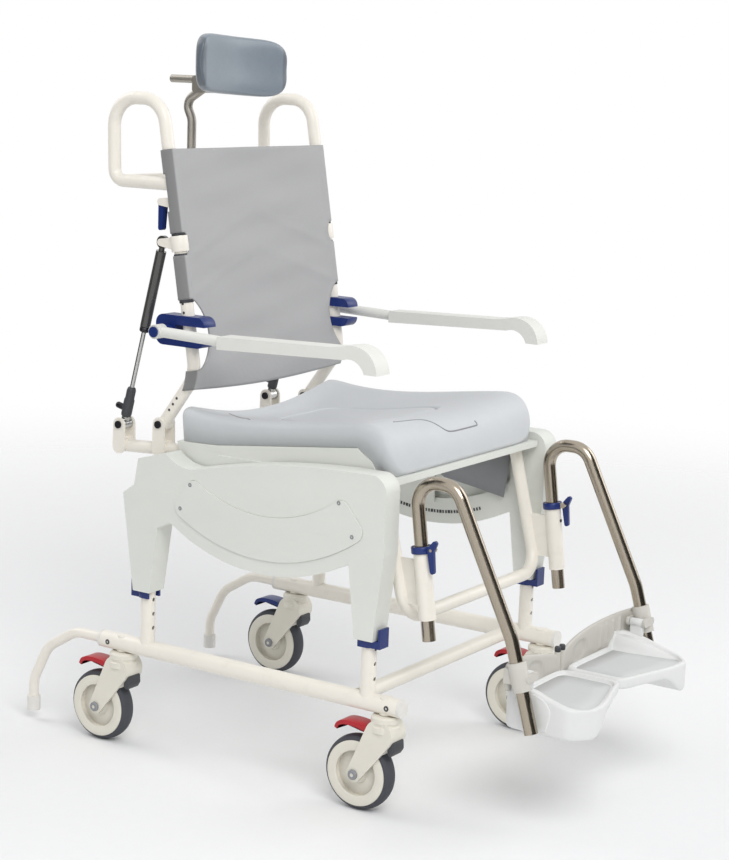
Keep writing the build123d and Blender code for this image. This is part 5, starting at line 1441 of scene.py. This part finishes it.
@dataclass
class Footplates:
    """Moulded footplates: a rimmed tread beside a deep outer box whose wall slopes to the front.

    Millimetres. Runs are shares of the way from the middle to the edge, or from the inner to the outer side.
    """

    outer_x: float = 200.0
    inner_x: float = 2.5
    front: Pair = (-513.0, -545.0)
    front_run: Pair = (0.0, 0.75)
    rear: float = -398.0
    plan_power: float = 8.0
    corner_in: float = 16.0
    corner_run: Pair = (0.82, 1.0)
    tread: float = 214.0
    rim: float = 5.0
    rim_run: Pair = (0.86, 0.91)
    wall_top: Pair = (244.0, 219.0)
    wall_in: Pair = (38.0, 26.0)
    wall_shift: float = 14.0
    fall_in: Pair = (15.0, 6.0)
    deep: float = 170.0
    shallow: float = 201.0
    box_run: Pair = (0.5, 0.8)
    fine_from: float = 0.8
    edge_from: float = 0.955
    edge_round: Pair = (6.0, 9.6)
    tread_shade_rings: Triple = (0.0, 0.4, 0.83)
    tread_shade_half: float = 0.5
    pin: Triple = (194.0, -437.74, 262.0)
    panel_walls: Pair = (197.0, 202.2)
    panel_middle: float = -451.74
    panel_half: float = 34.0
    panel_arch: Pair = (206.0, 28.0)
    panel_foot: Pair = (6.0, 178.0)
    panel_round: float = 1.5
    barrel_half: float = 11.5
    barrel_radius: float = 7.0
    arm_walls: Pair = (190.0, 200.0)
    arm_foot: float = 232.0
    arm_round: float = 2.0

    def top(self, x: np.ndarray, y: np.ndarray, ring: np.ndarray) -> np.ndarray:
        """Height of the upper side: level tread, a rim near the edge, and a wall that falls to the front.

        Args:
            x: X of each point on the left plate.
            y: Y of each point.
            ring: Its share of the way from the middle to the edge.

        Returns:
            Z of each point.
        """
        height = self.tread + self.rim * smooth_step(ring, *self.rim_run)
        fall = smooth_step(-y, self.fall_in[0] - self.rear, -self.front[1] - self.fall_in[1])
        wall = self.wall_top[0] + (self.wall_top[1] - self.wall_top[0]) * fall
        outer = self.outer_x + self.wall_shift * fall
        lean = smooth_step(x, outer - self.wall_in[0], outer - self.wall_in[1])
        return height + (wall - self.tread - self.rim) * lean

    def spread(self, steps: int, ring: np.ndarray,
               corner_in: float) -> tuple[np.ndarray, np.ndarray, np.ndarray]:
        """Rings of a rounded square, stretched over the plate between its rear and its slanted front.

        Args:
            steps: Steps round the plate.
            ring: Each ring's share of the way from the middle to the edge.
            corner_in: How far the outer front corner is drawn back.

        Returns:
            X and Y of each point on the left plate, and its share of the way to the outer side.
        """
        angle = full_turn(steps)[:, None]
        edge = ring * squircle(angle, 1.0, 1.0, self.plan_power)
        share = (1.0 + edge * np.cos(angle)) / 2
        front = self.front[0] + (self.front[1] - self.front[0]) * smooth_step(share, *self.front_run)
        front = front + corner_in * smooth_step(share, *self.corner_run)
        x = self.inner_x + (self.outer_x - self.inner_x) * share
        y = self.rear + (front - self.rear) * (1.0 - edge * np.sin(angle)) / 2
        return x, y, share

    def plate(self, label: str, side: int) -> Piece:
        """The plate as a disc with a quarter circle round its edge, deeper on its outer side.

        Args:
            label: Which side, in words.
            side: 1 for the chair's left, -1 for its right.

        Returns:
            The plate's object.
        """
        ring = np.concatenate([np.linspace(0.0, self.fine_from, 24),
                               np.linspace(self.fine_from, self.edge_from, 26)[1:],
                               self.edge_from + (1.0 - self.edge_from) * np.sin(quarter_turn(10))[1:]])
        x, y, share = self.spread(240, ring, self.corner_in)
        low = self.shallow + (self.deep - self.shallow) * smooth_step(share, *self.box_run)
        fall = np.clip((ring - self.edge_from) / (1.0 - self.edge_from), 0.0, 1.0)
        drop = 1.0 - np.sqrt(1.0 - fall ** 2)
        over, under = self.edge_round
        high = self.top(x, y, ring) - over * drop
        return disc(f"footplate_moulding_{label}", side * x, y, high, low + under * drop)

    def tread_shade(self, label: str, side: int) -> Piece:
        """Thin grey sheet inside the rim: painted shade on the tread.

        Args:
            label: Which side, in words.
            side: 1 for the chair's left, -1 for its right.

        Returns:
            The tread's object.
        """
        x, y, _ = self.spread(96, np.array(self.tread_shade_rings), 0.0)
        level = np.full_like(x, self.tread)
        return disc(f"footplate_tread_{label}", side * x, y, level + self.tread_shade_half, level - self.tread_shade_half)

    def panel(self, label: str, side: int) -> Piece:
        """Raised arched panel on the outer face, where the leg tube passes.

        Args:
            label: Which side, in words.
            side: 1 for the chair's left, -1 for its right.

        Returns:
            The panel's object.
        """
        turn = np.linspace(0.0, np.pi, 25)
        spring, rise = self.panel_arch
        flare, foot = self.panel_foot
        arch_y = self.panel_middle - self.panel_half * np.cos(turn)
        arch = np.column_stack([arch_y, spring + rise * np.sin(turn)])
        outline = np.concatenate([[(arch[0, 0] + flare, foot)], arch, [(arch[-1, 0] - flare, foot)]])
        panel = side_prism(f"footplate_panel_{label}", outline, side, self.panel_walls)
        return add_bevel(panel, self.panel_round)

    def hinge(self, label: str, side: int) -> Iterable[Piece]:
        """Hinge barrel about the pin, and the arm that joins it to the plate's wall.

        Args:
            label: Which side, in words.
            side: 1 for the chair's left, -1 for its right.

        Returns:
            The barrel and the arm.
        """
        x, y, z = self.pin
        half, foot = self.barrel_half, self.arm_foot
        barrel = rod_profile(self.barrel_radius, -half, half, 1.0)
        yield turned(f"footplate_barrel_{label}", barrel, (side * x, y, z), (0, 1, 0))
        outline = np.array([(y - half, foot), (y + half, foot), (y + half, z), (y - half, z)])
        arm = side_prism(f"footplate_arm_{label}", outline, side, self.arm_walls)
        yield add_bevel(arm, self.arm_round)

    def build(self, palette: Palette) -> None:
        """Make both footplates in place of their CAD solids.

        Args:
            palette: The finishes.
        """
        for label, side in SIDES.items():
            body = f"footplate_{label}"
            plate = palette.place(self.plate(label, side), "white_moulding", body, "white_plastic")
            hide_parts(body)
            # Grey sheet of painted shade on the tread.
            palette.place(self.tread_shade(label, side), "tread_shade_grey", body, "white_plastic")
            for piece in (self.panel(label, side), *self.hinge(label, side)):
                palette.place(piece, "white_moulding", body, "white_plastic")


@dataclass
class HeelLoops:
    """Soft moulded heel loops with a sunken oval patch and grip ribs, each with a post and a black stud.

    Millimetres. Places along a loop are shares from its outer to its inner end, and places up it are shares
    of its half height.
    """

    outer: Pair = (219.0, -417.0)
    middle: Pair = (114.0, -388.0)
    inner: Pair = (8.0, -393.0)
    top: Pair = (286.0, 250.0)
    height: float = 56.0
    half_thick: float = 4.2
    section_power: float = 4.5
    taper: float = 0.28
    taper_power: float = 0.7
    bow: float = -5.0
    end_round: float = 0.012
    end_tall: float = 0.4
    rib_first: float = 0.13
    rib_pitch: float = 0.075
    rib_middle: float = 0.28
    rib_reach: Pair = (-0.16, -0.14)
    rib_tall: Pair = (-0.8, -0.6)
    rib_rise: float = 2.6
    patch_middle: float = 0.68
    patch_half: Pair = (0.13, 0.62)
    patch_rim: Pair = (-1.05, -0.92)
    patch_depth: float = 2.0
    post: Pairs = ((0.0, 0.0), (4.5, 0.0), (5.0, 1.0), (5.0, 50.0), (4.2, 51.5), (0.0, 51.5))
    post_z: float = 196.0
    stud: Pairs = ((0.0, 0.0), (4.6, 0.0), (5.2, 1.0), (5.2, 7.0), (4.2, 9.0), (0.0, 9.0))
    stud_z: float = 247.0

    def relief(self, share: np.ndarray, rise: np.ndarray) -> np.ndarray:
        """How far the front face stands out: the upper halves of a sine for the ribs, less the oval patch.

        Args:
            share: Place along the loop.
            rise: Place up the loop.

        Returns:
            The relief at each point.
        """
        ribs = np.maximum(np.sin(2.0 * np.pi * (share - self.rib_first) / self.rib_pitch), 0.0)
        ribs = ribs * smooth_step(-np.abs(share - self.rib_middle), *self.rib_reach)
        ribs = ribs * smooth_step(-np.abs(rise), *self.rib_tall)
        far = np.hypot((share - self.patch_middle) / self.patch_half[0], rise / self.patch_half[1])
        return self.rib_rise * ribs - self.patch_depth * smooth_step(-far, *self.patch_rim)

    def band(self, label: str, side: int) -> Piece:
        """Loop: an upright superellipse carried along a parabola through three points, with tapered ends.

        Args:
            label: Which side, in words.
            side: 1 for the chair's left, -1 for its right.

        Returns:
            The loop's object.
        """
        share = np.linspace(0.0, 1.0, 150)[:, None]
        weights = ((1 - share) * (1 - 2 * share), 4 * share * (1 - share), share * (2 * share - 1))
        points = (self.outer, self.middle, self.inner)
        path = sum(weight * np.array(point) for weight, point in zip(weights, points))
        across = plane_normals(path)
        out, rise = superellipse(full_turn(56)[None, :], self.section_power)
        arc = np.sin(np.pi * share)
        cap = np.sqrt(np.clip(np.minimum(share, 1 - share) / self.end_round, 0.0, 1.0))
        offset = (self.half_thick * out - (out < 0) * self.relief(share, rise)) * cap
        middle = self.top[0] + (self.top[1] - self.top[0]) * share - self.height / 2 + self.bow * arc
        tall = self.height / 2 * (1.0 - self.taper + self.taper * arc ** self.taper_power)
        x = path[:, :1] + across[:, :1] * offset * np.sign(across[:, 1:])
        y = path[:, 1:] + np.abs(across[:, 1:]) * offset
        z = middle + tall * rise * (self.end_tall + (1.0 - self.end_tall) * cap)
        grid = np.stack(np.broadcast_arrays(side * x, y, z), axis=2)
        ends = np.broadcast_to(grid[[0, -1]].mean(axis=1, keepdims=True), (2, *grid.shape[1:]))
        return surface(f"heel_loop_{label}", np.concatenate([ends[:1], grid, ends[1:]]), wrap_columns=True)

    def build(self, palette: Palette) -> None:
        """Make both loops in place of their CAD solids, and the post and stud at their inner ends.

        Args:
            palette: The finishes.
        """
        for label, side in SIDES.items():
            body = f"legrest_{label}"
            band = palette.place(self.band(label, side), "heel_beige", body, "white_plastic")
            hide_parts(f"heel_band_{label}")
            x, y = side * self.inner[0], self.inner[1]
            post = turned(f"heel_post_{label}", self.post, (x, y, self.post_z), (0, 0, 1))
            palette.place(post, "heel_beige", body, "white_plastic")
            stud = turned(f"heel_stud_{label}", self.stud, (x, y, self.stud_z), (0, 0, 1))
            palette.place(stud, "dark_moulding", body, "dark_plastic")


@dataclass
class LegTrim:
    """Blue collar over the ring on top of each legrest sleeve, and the sleeve's dark screw. Millimetres."""

    x: float = 217.0
    sleeve: Pair = (-267.0, 323.0)
    rake: float = 8.0
    radius: float = 14.0
    collar_at: float = 107.6
    collar: Pairs = ((15.1, 0.0), (16.4, 0.0), (17.2, 1.0), (17.2, 10.6), (16.4, 11.6), (15.1, 11.6),
                     (15.1, 0.0))
    screw_at: float = 88.0
    screw: Pairs = ((0.0, -1.0), (3.0, -1.0), (3.0, 0.9), (2.5, 1.4), (0.0, 1.4))

    def axis(self) -> np.ndarray:
        """Unit direction of the sleeves, from the lower end to the upper one."""
        return np.array([0.0, sin(radians(self.rake)), cos(radians(self.rake))])

    def point(self, side: int, distance: float) -> np.ndarray:
        """Point on a sleeve's axis at a distance from its lower end."""
        return np.array([side * self.x, *self.sleeve]) + distance * self.axis()

    def build(self, palette: Palette) -> None:
        """Make the collars on the legrests and the screws on the seat frame.

        Args:
            palette: The finishes.
        """
        for label, side in SIDES.items():
            at = self.point(side, self.collar_at)
            collar = turned(f"sleeve_collar_{label}", self.collar, at, self.axis())
            palette.place(collar, "deep_blue", f"legrest_{label}", "blue_plastic")
            at = self.point(side, self.screw_at) - (0.0, self.radius, 0.0)
            screw = turned(f"sleeve_screw_{label}", self.screw, at, (0, -1, 0), 20)
            palette.place(screw, "bolt_black", "seat", "dark_plastic")


@dataclass
class GasSpringFittings:
    """Black foot fitting and release head of each gas spring, and the collar above its rod. Millimetres."""

    x: float = 214.0
    foot: Pair = (366.0, 559.0)
    head: Pair = (286.0, 880.0)
    sleeve: Pairs = ((0.0, 12.0), (5.5, 12.0), (8.5, 15.0), (9.2, 18.0), (9.2, 44.0), (8.0, 47.0),
                     (8.0, 62.0), (6.8, 66.0), (4.2, 68.0), (0.0, 68.0))
    release: Pairs = ((0.0, 0.0), (5.0, 0.0), (5.6, 0.8), (5.6, 14.0), (4.6, 16.0), (0.0, 16.0))
    release_at: float = 30.0
    release_off: Triple = (0.0, 8.0, -1.0)
    release_axis: Triple = (0.0, 0.97, 0.24)
    seal: Pairs = ((4.2, 170.0), (7.5, 170.0), (8.6, 172.0), (8.6, 179.0), (4.2, 179.0), (4.2, 170.0))

    def line(self) -> np.ndarray:
        """Unit direction of the spring from its foot to its head."""
        run = np.array(self.head) - np.array(self.foot)
        return np.array([0.0, *(run / np.linalg.norm(run))])

    def build(self, palette: Palette) -> None:
        """Make the fittings on both springs.

        Args:
            palette: The finishes.
        """
        for label, side in SIDES.items():
            start = np.array([side * self.x, *self.foot])
            sleeve = turned(f"spring_foot_{label}", self.sleeve, start, self.line(), 28)
            palette.place(sleeve, "dark_moulding", "strut_rods", "dark_plastic")
            at = start + self.line() * self.release_at + self.release_off
            release = turned(f"spring_release_{label}", self.release, at, self.release_axis, 24)
            palette.place(release, "bolt_black", "strut_rods", "dark_plastic")
            seal = turned(f"spring_seal_{label}", self.seal, start, self.line(), 28)
            palette.place(seal, "bolt_black", "strut_cylinders", "strut_black")


@dataclass
class SeatSkirts:
    """Side skirts that carry the shell down between the side frames, grey panels of painted shade on them,
    and the guides' slots.

    Millimetres; the slots' first angle, pitch and half width are degrees from straight below the centre.
    """

    wall: Pair = (228.7, 231.8)
    skirt_round: float = 0.8
    skirt: Pairs = ((231.0, 545.0), (227.0, 512.0), (212.0, 497.0), (150.0, 492.0), (20.0, 508.0),
                    (-150.0, 522.0), (-168.0, 545.0))
    # Grey panel of painted shade inside each skirt: its wall and (Y, Z) outline.
    shade_panel_wall: Pair = (227.4, 228.6)
    shade_panel: Pairs = ((120.0, 530.0), (60.0, 500.0), (-20.0, 452.0), (-100.0, 440.0), (-146.0, 432.0),
                  (-160.0, 530.0))
    guide_centre: Pair = (18.0, 710.0)
    slot_radius: float = 327.0
    slot_wall: Pair = (237.4, 238.6)
    slot_half_tall: float = 2.8
    slot_first: float = -19.7333
    slot_pitch: float = 3.2 / 3.0
    slot_half: float = 0.27
    slot_count: int = 33

    def rack(self, label: str, side: int) -> Piece:
        """Row of dark slots along the curved guide's inner face: one box at each step round the centre.

        Args:
            label: Which side, in words.
            side: 1 for the chair's left, -1 for its right.

        Returns:
            The slots as one object.
        """
        step = np.arange(self.slot_count)[:, None]
        turn = self.slot_first + self.slot_pitch * step + self.slot_half * np.array([-1.0, 1.0, 1.0, -1.0])
        reach = self.slot_radius + self.slot_half_tall * np.array([-1.0, -1.0, 1.0, 1.0])
        y = self.guide_centre[0] + reach * np.sin(np.radians(turn))
        z = self.guide_centre[1] - reach * np.cos(np.radians(turn))
        ends = [np.stack([np.full_like(y, side * x), y, z], axis=-1) for x in self.slot_wall]
        corners = np.concatenate(ends, axis=1).reshape(-1, 3)
        box = np.array([[0, 1, 2, 3], [7, 6, 5, 4], [0, 4, 5, 1], [1, 5, 6, 2], [2, 6, 7, 3], [3, 7, 4, 0]])
        faces = (box + 8 * step[:, None]).reshape(-1, 4)
        return tidy_mesh(make_piece(f"rack_slots_{label}", corners, faces, smooth=False))

    def build(self, palette: Palette) -> None:
        """Make both skirts with their grey panels of painted shade on the seat, and the guides' dark slots.

        Args:
            palette: The finishes.
        """
        for label, side in SIDES.items():
            skirt = side_prism(f"seat_skirt_{label}", np.array(self.skirt), side, self.wall)
            palette.place(add_bevel(skirt, self.skirt_round), "pale_frame", "seat", "frame_plastic")
            # Grey panel of painted shade on the skirt's inner side, under the seat's front.
            shade_panel = side_prism(f"seat_shade_panel_{label}", np.array(self.shade_panel), side, self.shade_panel_wall)
            palette.place(shade_panel, "bracket_grey", "seat", "frame_plastic")
            palette.place(self.rack(label, side), "dark_moulding", "upper", "dark_plastic")


# Floor, light and camera

@dataclass
class Studio:
    """Pale floor that fades into a white surround, soft lamps, and the camera at the photograph's angle.

    Metres and degrees. A lamp has its place, size and power, and a card its place and half sizes.
    """

    lens_px: float = 2016.54
    image_height: int = 860
    sensor: float = 36.0
    yaw: float = -56.74
    pitch: float = 10.29
    roll: float = 2.0
    camera_at: Triple = (-2.8667, -1.8729, 1.1876)
    floor_radius: float = 9.0
    floor_fade: Pair = (2.4, 2.6)
    floor_colours: tuple[Colour, Colour] = ((236, 237, 238), (240, 240, 241))
    even_light: float = 0.55
    aim: Triple = (0.0, 0.0, 0.6)
    lamps: tuple[tuple[str, Triple, float, float], ...] = (
        ("key_box", (-2.2, -2.4, 3.4), 2.2, 95.0),
        ("fill_box", (2.6, -2.2, 2.4), 2.4, 40.0),
        ("rear_box", (-0.6, 3.2, 3.0), 2.2, 45.0),
    )
    cards: tuple[tuple[str, Triple, Pair], ...] = (
        ("dark_card_rear", (-1.65, 2.74, 2.2), (2.0, 3.2)),
        ("dark_card_side", (0.2, -3.3, 2.2), (3.2, 3.2)),
    )
    card_colour: Linear = (0.02, 0.02, 0.02, 1.0)

    def camera(self) -> None:
        """Place the camera: its axes from yaw and pitch, then a small roll."""
        yaw, pitch, roll = (radians(value) for value in (self.yaw, self.pitch, self.roll))
        back = np.array([sin(yaw) * cos(pitch), -cos(yaw) * cos(pitch), sin(pitch)])
        right = np.array([cos(yaw), sin(yaw), 0.0])
        up = np.cross(back, right)
        matrix = np.eye(4)
        matrix[:3, 0] = right * cos(roll) + up * sin(roll)
        matrix[:3, 1] = up * cos(roll) - right * sin(roll)
        matrix[:3, 2] = back
        matrix[:3, 3] = self.camera_at
        data = bpy.data.cameras.new("photo_camera")
        data.sensor_fit, data.sensor_height, data.sensor_width = "VERTICAL", self.sensor, self.sensor
        data.lens = self.lens_px * self.sensor / self.image_height
        camera = bpy.data.objects.new("photo_camera", data)
        bpy.context.scene.collection.objects.link(camera)
        camera.matrix_world = Matrix(matrix.tolist())
        bpy.context.scene.camera = camera

    def floor(self) -> None:
        """A disc of rings and spokes whose rim lets the surround show through."""
        ring = np.linspace(0.0, self.floor_radius, 24)[:, None] / MM
        turn = full_turn(96)[None, :]
        grid = np.stack(np.broadcast_arrays(ring * np.cos(turn), ring * np.sin(turn), 0.0), axis=2)
        floor = surface("studio_floor", grid, wrap_columns=True)
        shader = Shader("floor_paper")
        first, second = (linear(*colour) for colour in self.floor_colours)
        shader.set(Base_Color=shader.mix(shader.noise(40.0, 3.0), first, second), Roughness=0.7)
        far = shader.node("ShaderNodeVectorMath", {"operation": "LENGTH"}, {0: shader.place()}, "Value")
        layers = {0: far.above(*self.floor_fade), 1: Sock(shader, shader.principled.outputs[0]),
                  2: shader.node("ShaderNodeBsdfTransparent")}
        output = shader.tree.nodes["Material Output"]
        shader.feed(output.inputs["Surface"], shader.node("ShaderNodeMixShader", inputs=layers))
        floor.data.materials.append(shader.material)

    def lamp(self, name: str, at: Triple, size: float, power: float) -> None:
        """One square soft box aimed at the chair's middle.

        Args:
            name: Its name.
            at: Its place.
            size: Its side.
            power: Its power in watts.
        """
        data = bpy.data.lights.new(name, "AREA")
        data.shape, data.size, data.energy = "SQUARE", size, power
        lamp = bpy.data.objects.new(name, data)
        lamp.location = at
        lamp.rotation_euler = (Vector(self.aim) - Vector(at)).to_track_quat("-Z", "Y").to_euler()
        bpy.context.scene.collection.objects.link(lamp)

    def card(self, name: str, at: Triple, half: Pair) -> None:
        """A dark upright card that only reflections see, which gives bright metal its dark streaks.

        Args:
            name: Its name.
            at: Its middle; it faces the upright line through the chair's middle.
            half: Half its width and half its height.
        """
        up = np.array([0.0, 0.0, 1.0])
        side = np.cross(up, at)
        side /= np.linalg.norm(side)
        across, tall = (np.linspace(-reach, reach, 3) for reach in half)
        grid = np.array(at) + across[:, None, None] * side + tall[None, :, None] * up
        card = surface(name, grid / MM)
        shader = Shader(name)
        shader.set(Base_Color=self.card_colour, Roughness=1.0)
        card.data.materials.append(shader.material)
        card.visible_camera = card.visible_diffuse = card.visible_shadow = False
        card.visible_transmission = card.visible_volume_scatter = False

    def surround(self) -> None:
        """White where the camera and mirrors look, and an even light elsewhere."""
        world = bpy.data.worlds.new("white_surround")
        bpy.context.scene.world = world
        world.use_nodes = True
        nodes = Nodes(world.node_tree)
        camera = nodes.node("ShaderNodeLightPath", output="Is Camera Ray")
        mirror = camera.beside("Is Glossy Ray") + camera.beside("Is Transmission Ray")
        seen = nodes.node("ShaderNodeMath", {"operation": "ADD", "use_clamp": True}, {0: camera, 1: mirror})
        limits = {"Value": seen, "To Min": self.even_light, "To Max": 1.0}
        background = world.node_tree.nodes["Background"]
        nodes.feed(background.inputs["Strength"], nodes.node("ShaderNodeMapRange", inputs=limits))
        nodes.feed(background.inputs["Color"], (1.0, 1.0, 1.0, 1.0))

    def build(self) -> None:
        """Set up the whole studio."""
        bpy.context.scene.view_settings.view_transform = "Standard"
        self.camera()
        self.floor()
        self.surround()
        for card in self.cards:
            self.card(*card)
        for lamp in self.lamps:
            self.lamp(*lamp)


def main() -> None:
    """Dress the CAD nodes, add the pieces, and set up the studio."""
    logging.basicConfig(level=logging.INFO)
    palette = Palette()
    for finish, nodes in NODE_FINISHES.items():
        for node in nodes:
            palette.dress(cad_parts[node], finish)
    for width, nodes in EDGE_ROUNDS.items():
        for node in nodes:
            round_edges(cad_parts[node], width)
    soft = (SeatCushion(), BackCloth(), HeadCushion())
    fittings = (CastorTrim(), FRAME_SCREWS, RAIL_SCREWS, BACK_HOLES, Footplates(), HeelLoops(), LegTrim(),
                GasSpringFittings(), SeatSkirts())
    for assembly in soft + fittings:
        assembly.build(palette)
    Studio().build()


if __name__ == "__main__":
    main()
